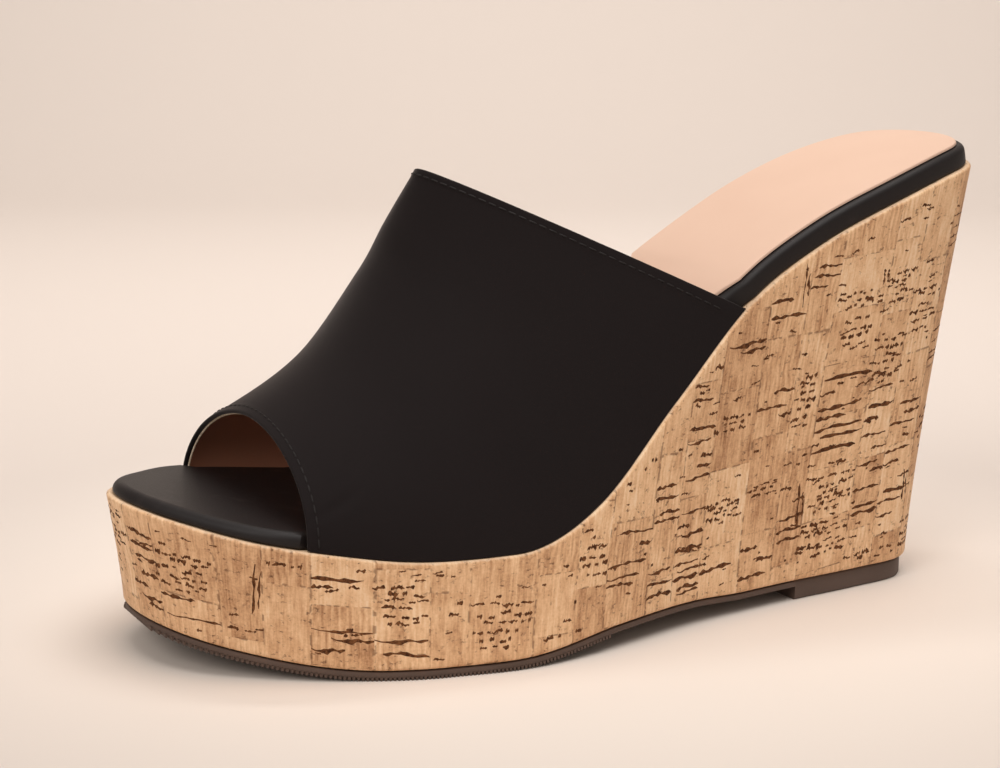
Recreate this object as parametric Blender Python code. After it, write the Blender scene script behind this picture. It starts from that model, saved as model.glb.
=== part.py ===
"""A wedge mule for the left foot: a cork-wrapped wedge and platform, a black footbed, a nude insole sock,
a one-piece black vamp open at toe and heel, a thin rubber outsole and a rubber heel lift.

The toe points to -Y, the outer (lateral) side of the foot is +X and the floor is Z = 0. Metres.
Everything lies on stations along the shoe: station 0 is the back of the heel and station 1 the tip of
the toe, and each station has one point on the lateral side and one on the medial side.
"""

import math

import bmesh
import bpy
import numpy as np

# Main sizes of the sole
SHOE_LENGTH = 0.228
BALL_WIDTH = 0.087
HEEL_HEIGHT = 0.1110
PLATFORM_HEIGHT = 0.0272
TOE_RISE = 0.0115
TOE_SPRING = 0.0087
ARCH_LIFT = 0.0020
HEEL_UNDERCUT = 0.0131
TOE_UNDERCUT = 0.0038

# The vamp's height over the platform, at the toe opening and at the topline
OPENING_RISE = 0.0285
INSTEP_RISE = 0.0841

# Thicknesses
FOOTBED_THICKNESS = 0.0050
FOOTBED_TOE_THICKNESS = 0.0030
SOCK_THICKNESS = 0.0008
UPPER_WALL = 0.0016
OUTSOLE_THICKNESS = 0.0020
LIFT_THICKNESS = 0.0052

# Lengths of the pieces that end along the shoe
LIFT_LENGTH = 0.0460
SOCK_LENGTH = 0.1370

# Ledges, rounded edges and clearances
CORK_TOP_ROUND = 0.0008
CORK_BOTTOM_ROUND = 0.0012
CORK_LEDGE = 0.0012
FOOTBED_ROUND = 0.0016
FOOTBED_TOE_ROUND = 0.0022
FOOTBED_ROUND_LIMIT = 0.8
SOCK_MARGIN = 0.0012
LIFT_INSET = 0.0014
LIFT_JOINT = 0.0005
OUTSOLE_INSET = 0.0005
UPPER_CLEARANCE = 0.0005
SOCK_END_CLEARANCE = 0.0011
TUCK_LENGTH = 0.0030
GAP = 0.0003

# How far the footbed's side leans in beside the vamp, for each metre that it rises
TUCK_LEAN = 0.35

# The wall of the wedge leans in fastest under its top edge
WALL_LEAN_POWER = 1.25

# Fineness of the meshes
STATION_COUNT = 44
WALL_ROWS = 6
ROUND_ROWS = 3
RIB_COUNT = 24
RIB_POINTS = 36
OUTLINE_POINTS = 361
STATION_DIGITS = 5

# Plan outline of the wedge's top edge: middle and half width are shares of the ball width
TOP_OUTLINE = {
    "station": (0.00, 0.03, 0.08, 0.16, 0.30, 0.45, 0.60, 0.70, 0.80, 0.90, 0.96, 1.00),
    "middle": (0.045, 0.043, 0.042, 0.044, 0.064, 0.053, 0.024, -0.022, -0.059, -0.082, -0.089, -0.101),
    "half": (0.000, 0.250, 0.308, 0.333, 0.316, 0.379, 0.466, 0.500, 0.491, 0.410, 0.250, 0.000),
}

# Plan outline of the wedge's bottom edge, whose stations run from its own heel to its own toe
BOTTOM_OUTLINE = {
    "station": (0.00, 0.04, 0.12, 0.25, 0.38, 0.50, 0.62, 0.72, 0.82, 0.91, 0.97, 1.00),
    "middle": (0.041, 0.039, 0.037, 0.044, 0.051, 0.051, 0.028, -0.018, -0.056, -0.083, -0.096, -0.101),
    "half": (0.000, 0.221, 0.265, 0.293, 0.341, 0.420, 0.482, 0.491, 0.443, 0.341, 0.224, 0.000),
}

# Height of the top edge: the heel column spans platform to heel, the toe column the rise at the toe
TOP_PROFILE = {
    "station": (0.00, 0.08, 0.16, 0.25, 0.35, 0.45, 0.55, 0.65, 0.75, 0.85, 0.93, 1.00),
    "heel": (1.000, 0.953, 0.882, 0.782, 0.617, 0.363, 0.106, 0.000, 0.000, 0.000, 0.000, 0.000),
    "toe": (0.000, 0.000, 0.000, 0.000, 0.000, 0.000, 0.000, 0.000, 0.033, 0.342, 0.643, 1.000),
}

# Height of the bottom edge: the lift, the arch behind the ball and the spring at the toe
BOTTOM_PROFILE = {
    "station": (0.00, 0.30, 0.38, 0.50, 0.63, 0.70, 0.78, 0.86, 0.93, 1.00),
    "lift": (1.000, 1.000, 0.900, 0.550, 0.060, 0.000, 0.000, 0.000, 0.000, 0.000),
    "arch": (0.000, 0.000, 0.600, 1.000, 0.080, 0.000, 0.000, 0.000, 0.000, 0.000),
    "spring": (0.000, 0.000, 0.000, 0.000, 0.000, 0.000, 0.000, 0.170, 0.520, 1.000),
}

# Ribs of the vamp from the toe opening (0) to the topline (1). The feet and the ridge are stations,
# the rise spans the opening's rise to the instep's, the shift is a share of the ball width, and the
# fullness is the power of the rib's curve: 2 is an ellipse and more is squarer
VAMP_RIBS = {
    "rib": (0.00, 0.25, 0.50, 0.75, 1.00),
    "lateral_foot": (0.859, 0.733, 0.607, 0.482, 0.356),
    "medial_foot": (0.870, 0.741, 0.611, 0.482, 0.352),
    "ridge": (0.854, 0.766, 0.704, 0.684, 0.659),
    "rise": (0.000, 0.232, 0.577, 0.770, 1.000),
    "shift": (-0.071, -0.099, -0.124, -0.113, -0.070),
    "lateral_fullness": (1.88, 1.95, 1.95, 1.95, 1.90),
    "medial_fullness": (1.89, 1.94, 1.96, 1.95, 1.91),
}

# Colour, roughness and metallic value of each material
MATERIALS = {
    "cork": ((0.66, 0.42, 0.22), 0.75, 0.0),
    "black_rubberised_board": ((0.012, 0.010, 0.011), 0.45, 0.0),
    "nude_sock_lining": ((0.86, 0.60, 0.44), 0.60, 0.0),
    "black_textile": ((0.013, 0.010, 0.012), 0.85, 0.0),
    "brown_rubber": ((0.105, 0.065, 0.045), 0.60, 0.0),
    "brown_lift_rubber": ((0.085, 0.052, 0.037), 0.55, 0.0),
}


def turn(station):
    """Stations as an angle from 0 to pi, in which the two ends of an outline come out round."""
    return np.arccos(1 - 2 * np.clip(station, 0, 1))


def spread(start, end, count):
    """Stations from start to end, closer together towards the heel's back and the toe's tip."""
    return (1 - np.cos(np.linspace(turn(start), turn(end), count))) / 2


def smooth_step(t):
    t = np.clip(t, 0, 1)
    return t * t * (3 - 2 * t)


def column(table, key, name, at, scale=None):
    """One column of a table as a smooth curve over its key column, level at its highs and lows."""
    knots = np.array(table[key], float)
    values = np.array(table[name], float)
    if scale:
        knots, at = scale(knots), scale(at)
    step = np.diff(knots)
    rate = np.diff(values) / step
    slope = np.empty_like(values)
    slope[1:-1] = (rate[:-1] * step[1:] + rate[1:] * step[:-1]) / (step[:-1] + step[1:])
    slope[1:-1][rate[:-1] * rate[1:] <= 0] = 0
    slope[0] = 1.5 * rate[0] - 0.5 * slope[1]
    slope[-1] = 1.5 * rate[-1] - 0.5 * slope[-2]
    i = np.clip(np.searchsorted(knots, at, side="right") - 1, 0, len(step) - 1)
    t = np.clip((at - knots[i]) / step[i], 0, 1)
    start = (2 * t**3 - 3 * t**2 + 1) * values[i] + (t**3 - 2 * t**2 + t) * step[i] * slope[i]
    end = (3 * t**2 - 2 * t**3) * values[i + 1] + (t**3 - t**2) * step[i] * slope[i + 1]
    return start + end


def top_height(along):
    """Height of the cork's top at a distance along the shoe from the back of the heel."""
    station = along / SHOE_LENGTH
    heel = column(TOP_PROFILE, "station", "heel", station)
    toe = column(TOP_PROFILE, "station", "toe", station)
    return PLATFORM_HEIGHT + heel * (HEEL_HEIGHT - PLATFORM_HEIGHT) + toe * TOE_RISE


def bottom_height(station):
    """Height of the cork's underside, which the outsole and the lift meet."""
    lift = column(BOTTOM_PROFILE, "station", "lift", station)
    arch = column(BOTTOM_PROFILE, "station", "arch", station)
    spring = column(BOTTOM_PROFILE, "station", "spring", station)
    sheet = OUTSOLE_THICKNESS + lift * (LIFT_THICKNESS - OUTSOLE_THICKNESS)
    return GAP + sheet + arch * ARCH_LIFT + spring * TOE_SPRING


def outline(table, stations, heel_end, toe_end, lateral_inset, medial_inset):
    """Both sides of a plan outline, drawn in from its edge: lateral X, medial X and distance along."""
    fine = np.linspace(0, math.pi, OUTLINE_POINTS)
    fine_station = (1 - np.cos(fine)) / 2
    fine_half = BALL_WIDTH * column(table, "station", "half", fine_station, turn)
    fine_along = heel_end + fine_station * (toe_end - heel_end)
    onward = np.gradient(fine_along, fine)
    outward = np.gradient(fine_half, fine)
    length = np.hypot(onward, outward)
    angle = turn(stations)
    side = np.interp(angle, fine, onward / length)
    end = np.interp(angle, fine, outward / length)
    half = np.interp(angle, fine, fine_half)
    middle = BALL_WIDTH * column(table, "station", "middle", stations, turn)
    lateral = middle + np.maximum(half - lateral_inset * side, 0)
    medial = middle - np.maximum(half - medial_inset * side, 0)
    along = np.interp(angle, fine, fine_along) + end * (lateral_inset + medial_inset) / 2
    return lateral, medial, along


def centring_shift():
    """What moves the plan outline so that it is centred across."""
    lateral, medial, _ = outline(TOP_OUTLINE, spread(0, 1, OUTLINE_POINTS), 0, SHOE_LENGTH, 0, 0)
    return -(lateral.max() + medial.min()) / 2


def edge(lateral, medial, along, height):
    """The two sides of an outline as rows of points in the shoe's frame."""
    y = SHOE_LENGTH / 2 - along
    shift = centring_shift()
    return np.stack([lateral + shift, y, height], -1), np.stack([medial + shift, y, height], -1)


def top_edge(stations, inset=0.0, drop=0.0):
    """The cork's top edge, or a line drawn in and down from it."""
    lateral, medial, along = outline(TOP_OUTLINE, stations, 0, SHOE_LENGTH, inset, inset)
    return edge(lateral, medial, along, top_height(along) - drop)


def bottom_outline(stations, inset):
    toe_end = SHOE_LENGTH - TOE_UNDERCUT
    return outline(BOTTOM_OUTLINE, stations, HEEL_UNDERCUT, toe_end, inset, inset)


def bottom_edge(stations, inset=0.0, height=None):
    """The cork's bottom edge, or a line drawn in from it at another height."""
    if height is None:
        height = bottom_height(stations)
    return edge(*bottom_outline(stations, inset), height)


def make_object(name, vertices, faces, material_name):
    """A closed mesh object with its faces out and its own material."""
    mesh = bpy.data.meshes.new(name)
    shape = bmesh.new()
    points = [shape.verts.new(point) for point in vertices]
    for face in faces:
        shape.faces.new([points[k] for k in face])
    bmesh.ops.remove_doubles(shape, verts=shape.verts, dist=1e-6)
    bmesh.ops.recalc_face_normals(shape, faces=shape.faces)
    shape.to_mesh(mesh)
    shape.free()
    mesh.shade_smooth()
    mesh.set_sharp_from_angle(angle=math.radians(35))
    colour, roughness, metallic = MATERIALS[material_name]
    material = bpy.data.materials.new(material_name)
    material.use_nodes = True
    shader = material.node_tree.nodes["Principled BSDF"]
    shader.inputs["Base Color"].default_value = (*colour, 1)
    shader.inputs["Roughness"].default_value = roughness
    shader.inputs["Metallic"].default_value = metallic
    mesh.materials.append(material)
    bpy.context.scene.collection.objects.link(bpy.data.objects.new(name, mesh))


def make_loft(name, layers, material_name):
    """A solid skinned over layers from bottom to top. Each layer is an outline's two sides."""
    count = len(layers[0][0])
    ring = 2 * count
    vertices = np.concatenate([np.concatenate([lateral, medial[::-1]]) for lateral, medial in layers])
    faces = []
    for layer in range(len(layers) - 1):
        below = layer * ring
        for k in range(ring):
            onward = (k + 1) % ring
            faces.append((below + k, below + onward, below + ring + onward, below + ring + k))
    for start in (0, (len(layers) - 1) * ring):
        for k in range(count - 1):
            across = start + ring - 1 - k
            faces.append((start + k, start + k + 1, across - 1, across))
    make_object(name, vertices, faces, material_name)


def make_cork_wedge():
    """The solid under the foot, from its rounded bottom edge up the leaning wall to its top edge."""
    stations = spread(0, 1, STATION_COUNT)
    layers = []
    for row in range(ROUND_ROWS + 1):
        turned = math.pi / 2 * row / ROUND_ROWS
        inset = CORK_BOTTOM_ROUND * (1 - math.sin(turned))
        lift = CORK_BOTTOM_ROUND * (1 - math.cos(turned))
        layers.append(bottom_edge(stations, inset, bottom_height(stations) + lift))
    low = layers[-1]
    high = top_edge(stations, 0, CORK_TOP_ROUND)
    for row in range(1, WALL_ROWS):
        share = row / WALL_ROWS
        out = share**WALL_LEAN_POWER
        mix = np.array([out, out, share])
        layers.append(tuple(low[side] + (high[side] - low[side]) * mix for side in (0, 1)))
    for row in range(ROUND_ROWS + 1):
        turned = math.pi / 2 * row / ROUND_ROWS
        inset = CORK_TOP_ROUND * (1 - math.cos(turned))
        layers.append(top_edge(stations, inset, CORK_TOP_ROUND * (1 - math.sin(turned))))
    make_loft("cork_wedge", layers, "cork")


def make_outsole():
    """A thin sheet under the cork, from the lift's front to the toe. It lies flat under the ball."""
    run = SHOE_LENGTH - TOE_UNDERCUT - HEEL_UNDERCUT
    stations = spread((LIFT_LENGTH + LIFT_JOINT) / run, 1, STATION_COUNT)
    top = bottom_height(stations) - GAP
    layers = [bottom_edge(stations, OUTSOLE_INSET, top - OUTSOLE_THICKNESS * down) for down in (1, 0)]
    make_loft("outsole", layers, "brown_rubber")


def make_heel_lift():
    """The thicker plate under the heel, flat on the floor and fitted to the cork above."""
    run = SHOE_LENGTH - TOE_UNDERCUT - HEEL_UNDERCUT
    stations = spread(0, LIFT_LENGTH / run, STATION_COUNT // 2)
    top = bottom_height(stations) - GAP
    layers = [bottom_edge(stations, LIFT_INSET, top * up) for up in (0, 1)]
    make_loft("heel_lift", layers, "brown_lift_rubber")


def footbed_inset(stations, side, lift):
    """How far the footbed's edge lies inside the cork's: a ledge, and the leaning vamp where that passes."""
    front, rear = VAMP_RIBS[side][0], VAMP_RIBS[side][-1]
    ramp = TUCK_LENGTH / SHOE_LENGTH
    under = smooth_step((stations - rear + ramp) / ramp) * smooth_step((front + ramp - stations) / ramp)
    tucked = CORK_TOP_ROUND + UPPER_WALL + UPPER_CLEARANCE + TUCK_LEAN * lift
    return CORK_LEDGE + (tucked - CORK_LEDGE) * under


def footbed_stations():
    """The sole's stations, with more where the footbed's edge tucks in beside the vamp's wall."""
    ramp = TUCK_LENGTH / SHOE_LENGTH
    extra = []
    for side in ("lateral_foot", "medial_foot"):
        front, rear = VAMP_RIBS[side][0], VAMP_RIBS[side][-1]
        extra += [rear - ramp, rear - ramp / 2, rear, front, front + ramp / 2, front + ramp]
    return np.unique(np.round(np.concatenate([spread(0, 1, STATION_COUNT), extra]), STATION_DIGITS))


def footbed_edge(stations, inset, lift):
    """A line drawn in from the footbed's side and lifted square off the cork's top."""
    lateral, medial, along = outline(
        TOP_OUTLINE, stations, 0, SHOE_LENGTH,
        footbed_inset(stations, "lateral_foot", lift) + inset,
        footbed_inset(stations, "medial_foot", lift) + inset,
    )
    slope = np.gradient(top_height(along), along)
    steep = np.hypot(1, slope)
    height = top_height(along) + lift / steep
    return edge(lateral, medial, along - lift * slope / steep, height)


def footbed_thickness(stations):
    thin = smooth_step((stations - VAMP_RIBS["ridge"][-1]) / (1 - VAMP_RIBS["ridge"][-1]))
    return FOOTBED_THICKNESS + (FOOTBED_TOE_THICKNESS - FOOTBED_THICKNESS) * thin


def footbed_round(stations):
    """Radius of the footbed's top edge, which is softer at the toe."""
    soft = smooth_step((stations - VAMP_RIBS["ridge"][-1]) / (1 - VAMP_RIBS["ridge"][-1]))
    radius = FOOTBED_ROUND + (FOOTBED_TOE_ROUND - FOOTBED_ROUND) * soft
    return np.minimum(radius, FOOTBED_ROUND_LIMIT * footbed_thickness(stations))


def make_footbed():
    """The board that the foot stands on, with a rounded top edge."""
    stations = footbed_stations()
    thickness = footbed_thickness(stations)
    radius = footbed_round(stations)
    layers = [footbed_edge(stations, 0, GAP)]
    for row in range(ROUND_ROWS + 1):
        turned = math.pi / 2 * row / ROUND_ROWS
        inset = radius * (1 - math.cos(turned))
        layers.append(footbed_edge(stations, inset, GAP + thickness - radius * (1 - math.sin(turned))))
    make_loft("footbed", layers, "black_rubberised_board")


def make_insole_sock():
    """The thin lining glued on the footbed, from the heel to under the vamp."""
    stations = footbed_stations()
    end = SOCK_LENGTH / SHOE_LENGTH
    stations = np.append(stations[stations < end - SOCK_END_CLEARANCE / SHOE_LENGTH], end)
    inset = footbed_round(stations) + SOCK_MARGIN
    base = 2 * GAP + footbed_thickness(stations)
    layers = [footbed_edge(stations, inset, base + up) for up in (0, SOCK_THICKNESS)]
    make_loft("insole_sock", layers, "nude_sock_lining")


def foot_line(side, station):
    """Where the vamp meets the cork's top edge, at one station of one side."""
    fine = spread(0, 1, OUTLINE_POINTS)
    row = top_edge(fine, CORK_TOP_ROUND)[side]
    return np.array([np.interp(turn(station), turn(fine), row[:, k]) for k in range(3)]) + (0, 0, GAP)


def make_rib(share):
    """One rib of the vamp's outer face, from its lateral foot over the ridge to its medial foot."""
    row = {name: float(column(VAMP_RIBS, "rib", name, share)) for name in VAMP_RIBS}
    lateral = foot_line(0, row["lateral_foot"])
    medial = foot_line(1, row["medial_foot"])
    rise = OPENING_RISE + row["rise"] * (INSTEP_RISE - OPENING_RISE)
    ridge_x = row["shift"] * BALL_WIDTH + centring_shift()
    ridge = np.array([ridge_x, SHOE_LENGTH * (0.5 - row["ridge"]), PLATFORM_HEIGHT + rise])
    middle = (lateral + medial) / 2
    angle = np.linspace(0, math.pi, RIB_POINTS + 1)
    lateral_half = angle < math.pi / 2
    power = 2 / np.where(lateral_half, row["lateral_fullness"], row["medial_fullness"])
    over = np.sign(np.cos(angle)) * np.abs(np.cos(angle)) ** power
    up = np.sin(angle).clip(0) ** power
    return middle + over[:, None] * (lateral - medial) / 2 + up[:, None] * (ridge - middle)


def wall_normals(grid):
    """Unit normals of a grid of points, out of the vamp."""
    across = np.gradient(grid, axis=1)
    onward = np.gradient(grid, axis=0)
    normal = np.cross(onward, across)
    return normal / np.linalg.norm(normal, axis=-1, keepdims=True)


def make_upper():
    """The vamp: ribs skinned to a shell with a real wall, open at the toe, at the topline and below."""
    outer = np.array([make_rib(share) for share in np.linspace(0, 1, RIB_COUNT + 1)])
    inward = -wall_normals(outer)
    inner = outer + UPPER_WALL * inward
    for foot in (0, -1):
        level = inward[:, foot] * (1, 1, 0)
        level /= np.linalg.norm(level, axis=-1, keepdims=True)
        inner[:, foot] = outer[:, foot] + UPPER_WALL * level
        inner[:, foot, 2] = top_height(SHOE_LENGTH / 2 - inner[:, foot, 1]) + GAP
    ribs, points = outer.shape[:2]
    size = ribs * points
    faces = []
    for rib in range(ribs - 1):
        for k in range(points - 1):
            a, b = rib * points + k, (rib + 1) * points + k
            faces += [(a, a + 1, b + 1, b), (size + a, size + b, size + b + 1, size + a + 1)]
        for k in (0, points - 1):
            a, b = rib * points + k, (rib + 1) * points + k
            faces.append((a, b, size + b, size + a))
    for rib in (0, ribs - 1):
        for k in range(points - 1):
            a = rib * points + k
            faces.append((a, a + 1, size + a + 1, size + a))
    vertices = np.concatenate([outer.reshape(-1, 3), inner.reshape(-1, 3)])
    make_object("upper", vertices, faces, "black_textile")


def clear_scene():
    for thing in list(bpy.data.objects):
        bpy.data.objects.remove(thing, do_unlink=True)


clear_scene()
make_cork_wedge()
make_outsole()
make_heel_lift()
make_footbed()
make_insole_sock()
make_upper()
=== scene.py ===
# %% [markdown]
# # A wedge clog in cork and black textile
# This lesson dresses one shoe: the left one of a pair of backless wedge clogs. Its solids come from a packed
# model, the frame, which holds every piece at its real size. The frame is loaded first and is never moved.
# Each step below makes the finished look of one piece over its solid, in the same metres.

# %% Load the frame
import math

import bmesh
import bpy
import numpy as np
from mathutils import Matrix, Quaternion, Vector


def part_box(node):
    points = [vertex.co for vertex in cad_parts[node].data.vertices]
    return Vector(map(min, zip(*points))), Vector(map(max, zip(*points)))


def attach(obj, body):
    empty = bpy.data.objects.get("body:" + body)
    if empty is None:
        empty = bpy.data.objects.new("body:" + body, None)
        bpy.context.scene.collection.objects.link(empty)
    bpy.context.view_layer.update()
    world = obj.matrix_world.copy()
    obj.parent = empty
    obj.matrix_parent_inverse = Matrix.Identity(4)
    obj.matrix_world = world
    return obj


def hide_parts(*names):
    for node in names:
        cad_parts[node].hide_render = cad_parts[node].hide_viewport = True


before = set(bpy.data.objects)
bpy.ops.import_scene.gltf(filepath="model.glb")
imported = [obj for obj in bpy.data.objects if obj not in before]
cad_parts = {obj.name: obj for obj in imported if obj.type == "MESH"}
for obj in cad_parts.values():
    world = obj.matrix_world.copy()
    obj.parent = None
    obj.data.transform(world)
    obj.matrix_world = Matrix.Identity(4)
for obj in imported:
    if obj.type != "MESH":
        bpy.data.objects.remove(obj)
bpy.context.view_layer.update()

# %% [markdown]
# ## The shoe's own measure
# A shoe is drawn on a last: a plan outline, the height of its edge along the way, and cross sections. The
# toe points to -Y and the outer side is +X. Station 0 is the back of the heel and station 1 the tip of the
# toe. The tables below hold shares, so the same few sizes drive the solid and its looks alike. Between the
# rows a smooth curve is drawn that stays level at its highs and lows, so it never swings past them.

# %% Sizes of the sole
wedge_low, wedge_high = (np.array(corner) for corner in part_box("cork_wedge"))
SHOE_LENGTH = float(wedge_high[1] - wedge_low[1])
BALL_WIDTH = 0.0870
HEEL_HEIGHT = 0.1110
PLATFORM_HEIGHT = 0.0272
TOE_RISE = 0.0115
TOE_SPRING = 0.0087
ARCH_LIFT = 0.0020
HEEL_UNDERCUT = 0.0131
TOE_UNDERCUT = 0.0038
OUTSOLE_THICKNESS = 0.0020
LIFT_THICKNESS = float(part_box("heel_lift")[1][2])
LIFT_LENGTH = 0.0460
LIFT_JOINT = 0.0005
GAP = 0.0003
WALL_LEAN_POWER = 1.25
MM = 0.001
FINE_COUNT = 721
PLAN_COUNT = 361

TOP_OUTLINE = {
    "station": (0.00, 0.03, 0.08, 0.16, 0.30, 0.45, 0.60, 0.70, 0.80, 0.90, 0.96, 1.00),
    "middle": (0.045, 0.043, 0.042, 0.044, 0.064, 0.053, 0.024, -0.022, -0.059, -0.082, -0.089, -0.101),
    "half": (0.000, 0.250, 0.308, 0.333, 0.316, 0.379, 0.466, 0.500, 0.491, 0.410, 0.250, 0.000),
}
BOTTOM_OUTLINE = {
    "station": (0.00, 0.04, 0.12, 0.25, 0.38, 0.50, 0.62, 0.72, 0.82, 0.91, 0.97, 1.00),
    "middle": (0.041, 0.039, 0.037, 0.044, 0.051, 0.051, 0.028, -0.018, -0.056, -0.083, -0.096, -0.101),
    "half": (0.000, 0.221, 0.265, 0.293, 0.341, 0.420, 0.482, 0.491, 0.443, 0.341, 0.224, 0.000),
}
TOP_PROFILE = {
    "station": (0.00, 0.08, 0.16, 0.25, 0.35, 0.45, 0.55, 0.65, 0.75, 0.85, 0.93, 1.00),
    "heel": (1.000, 0.953, 0.882, 0.782, 0.617, 0.363, 0.106, 0.000, 0.000, 0.000, 0.000, 0.000),
    "toe": (0.000, 0.000, 0.000, 0.000, 0.000, 0.000, 0.000, 0.000, 0.033, 0.342, 0.643, 1.000),
}
BOTTOM_PROFILE = {
    "station": (0.00, 0.30, 0.38, 0.50, 0.63, 0.70, 0.78, 0.86, 0.93, 1.00),
    "lift": (1.000, 1.000, 0.900, 0.550, 0.060, 0.000, 0.000, 0.000, 0.000, 0.000),
    "arch": (0.000, 0.000, 0.600, 1.000, 0.080, 0.000, 0.000, 0.000, 0.000, 0.000),
    "spring": (0.000, 0.000, 0.000, 0.000, 0.000, 0.000, 0.000, 0.170, 0.520, 1.000),
}
print("shoe length", round(SHOE_LENGTH, 4), "lift", round(LIFT_THICKNESS, 4))


# %% Curves through the tables
def turn(station):
    """Stations as an angle from 0 to pi, in which the two ends of an outline come out round."""
    return np.arccos(1 - 2 * np.clip(station, 0, 1))


def spread(start, end, count):
    """Stations from start to end, closer together towards the heel's back and the toe's tip."""
    return (1 - np.cos(np.linspace(turn(start), turn(end), count))) / 2


def smooth_step(t):
    t = np.clip(t, 0, 1)
    return t * t * (3 - 2 * t)


def column(table, key, name, at, scale=None):
    """One column of a table as a smooth curve over its key column, level at its highs and lows."""
    knots = np.array(table[key], float)
    values = np.array(table[name], float)
    if scale:
        knots, at = scale(knots), scale(at)
    step = np.diff(knots)
    rate = np.diff(values) / step
    slope = np.empty_like(values)
    slope[1:-1] = (rate[:-1] * step[1:] + rate[1:] * step[:-1]) / (step[:-1] + step[1:])
    slope[1:-1][rate[:-1] * rate[1:] <= 0] = 0
    slope[0] = 1.5 * rate[0] - 0.5 * slope[1]
    slope[-1] = 1.5 * rate[-1] - 0.5 * slope[-2]
    i = np.clip(np.searchsorted(knots, at, side="right") - 1, 0, len(step) - 1)
    t = np.clip((at - knots[i]) / step[i], 0, 1)
    start = (2 * t**3 - 3 * t**2 + 1) * values[i] + (t**3 - 2 * t**2 + t) * step[i] * slope[i]
    end = (3 * t**2 - 2 * t**3) * values[i + 1] + (t**3 - t**2) * step[i] * slope[i + 1]
    return start + end


# %% Heights and outlines of the sole
def top_height(along):
    """Height of the cork's top at a distance along the shoe from the back of the heel."""
    station = along / SHOE_LENGTH
    heel, toe = (column(TOP_PROFILE, "station", name, station) for name in ("heel", "toe"))
    return PLATFORM_HEIGHT + heel * (HEEL_HEIGHT - PLATFORM_HEIGHT) + toe * TOE_RISE


def bottom_height(station):
    """Height of the cork's underside, which the outsole and the lift meet."""
    names = ("lift", "arch", "spring")
    lift, arch, spring = (column(BOTTOM_PROFILE, "station", name, station) for name in names)
    sheet = OUTSOLE_THICKNESS + lift * (LIFT_THICKNESS - OUTSOLE_THICKNESS)
    return GAP + sheet + arch * ARCH_LIFT + spring * TOE_SPRING


def outline(table, stations, heel_end, toe_end, lateral_inset, medial_inset):
    """Both sides of a plan outline, drawn in from its edge: lateral X, medial X and distance along."""
    fine = np.linspace(0, math.pi, FINE_COUNT)
    fine_station = (1 - np.cos(fine)) / 2
    fine_half = BALL_WIDTH * column(table, "station", "half", fine_station, turn)
    fine_along = heel_end + fine_station * (toe_end - heel_end)
    onward = np.gradient(fine_along, fine)
    outward = np.gradient(fine_half, fine)
    length = np.hypot(onward, outward)
    angle = turn(stations)
    side = np.interp(angle, fine, onward / length)
    end = np.interp(angle, fine, outward / length)
    half = np.interp(angle, fine, fine_half)
    middle = BALL_WIDTH * column(table, "station", "middle", stations, turn)
    lateral = middle + np.maximum(half - lateral_inset * side, 0)
    medial = middle - np.maximum(half - medial_inset * side, 0)
    along = np.interp(angle, fine, fine_along) + end * (lateral_inset + medial_inset) / 2
    return lateral, medial, along


full_lateral, full_medial, _ = outline(TOP_OUTLINE, spread(0, 1, PLAN_COUNT), 0, SHOE_LENGTH, 0, 0)
SIDE_SHIFT = -(full_lateral.max() + full_medial.min()) / 2
top_width = float(full_lateral.max() - full_medial.min())
wedge_width = float(wedge_high[0] - wedge_low[0])
print("width of the top outline", round(top_width, 4), "and of the whole wedge", round(wedge_width, 4))


def edge(lateral, medial, along, height):
    """The two sides of an outline as rows of points in the shoe's frame."""
    y = SHOE_LENGTH / 2 - along
    lateral_row = np.stack([lateral + SIDE_SHIFT, y, height], -1)
    return lateral_row, np.stack([medial + SIDE_SHIFT, y, height], -1)


def top_edge(stations, inset, drop=0.0):
    """The cork's top edge, or a line drawn in and down from it."""
    lateral, medial, along = outline(TOP_OUTLINE, stations, 0, SHOE_LENGTH, inset, inset)
    return edge(lateral, medial, along, top_height(along) - drop)


def bottom_edge(stations, inset, height):
    """A line drawn in from the cork's bottom outline, at a height."""
    toe_end = SHOE_LENGTH - TOE_UNDERCUT
    return edge(*outline(BOTTOM_OUTLINE, stations, HEEL_UNDERCUT, toe_end, inset, inset), height)


# %% [markdown]
# ## The camera
# The photograph looks at the shoe's outer side from a little in front, hardly above it. A long lens about
# half a metre away gives the same gentle perspective. The camera is set by an azimuth, an elevation and a
# distance round a target on the shoe, and rolled a quarter of a degree.

# %% Camera
CAMERA_AZIMUTH = math.radians(62.33)
CAMERA_ELEVATION = math.radians(11.27)
CAMERA_DISTANCE = 0.5220
CAMERA_TARGET = Vector((0, -0.01549, 0.05759))
CAMERA_ROLL = math.radians(0.23)
FOCAL_PIXELS = 2098
FRAME_PIXELS = 1000
SENSOR = 36.0

flat, up = math.cos(CAMERA_ELEVATION), math.sin(CAMERA_ELEVATION)
back = Vector((math.sin(CAMERA_AZIMUTH) * flat, -math.cos(CAMERA_AZIMUTH) * flat, up))
camera_data = bpy.data.cameras.new("camera")
camera_data.sensor_width = SENSOR
camera_data.lens = SENSOR * FOCAL_PIXELS / FRAME_PIXELS
camera_data.clip_start = 0.02
camera = bpy.data.objects.new("camera", camera_data)
bpy.context.scene.collection.objects.link(camera)
camera.location = CAMERA_TARGET + back * CAMERA_DISTANCE
camera.rotation_mode = "QUATERNION"
camera.rotation_quaternion = (-back).to_track_quat("-Z", "Y") @ Quaternion((0, 0, 1), CAMERA_ROLL)
bpy.context.scene.camera = camera
print("lens", round(camera_data.lens, 1), "mm, at", [round(v, 3) for v in camera.location])


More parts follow.
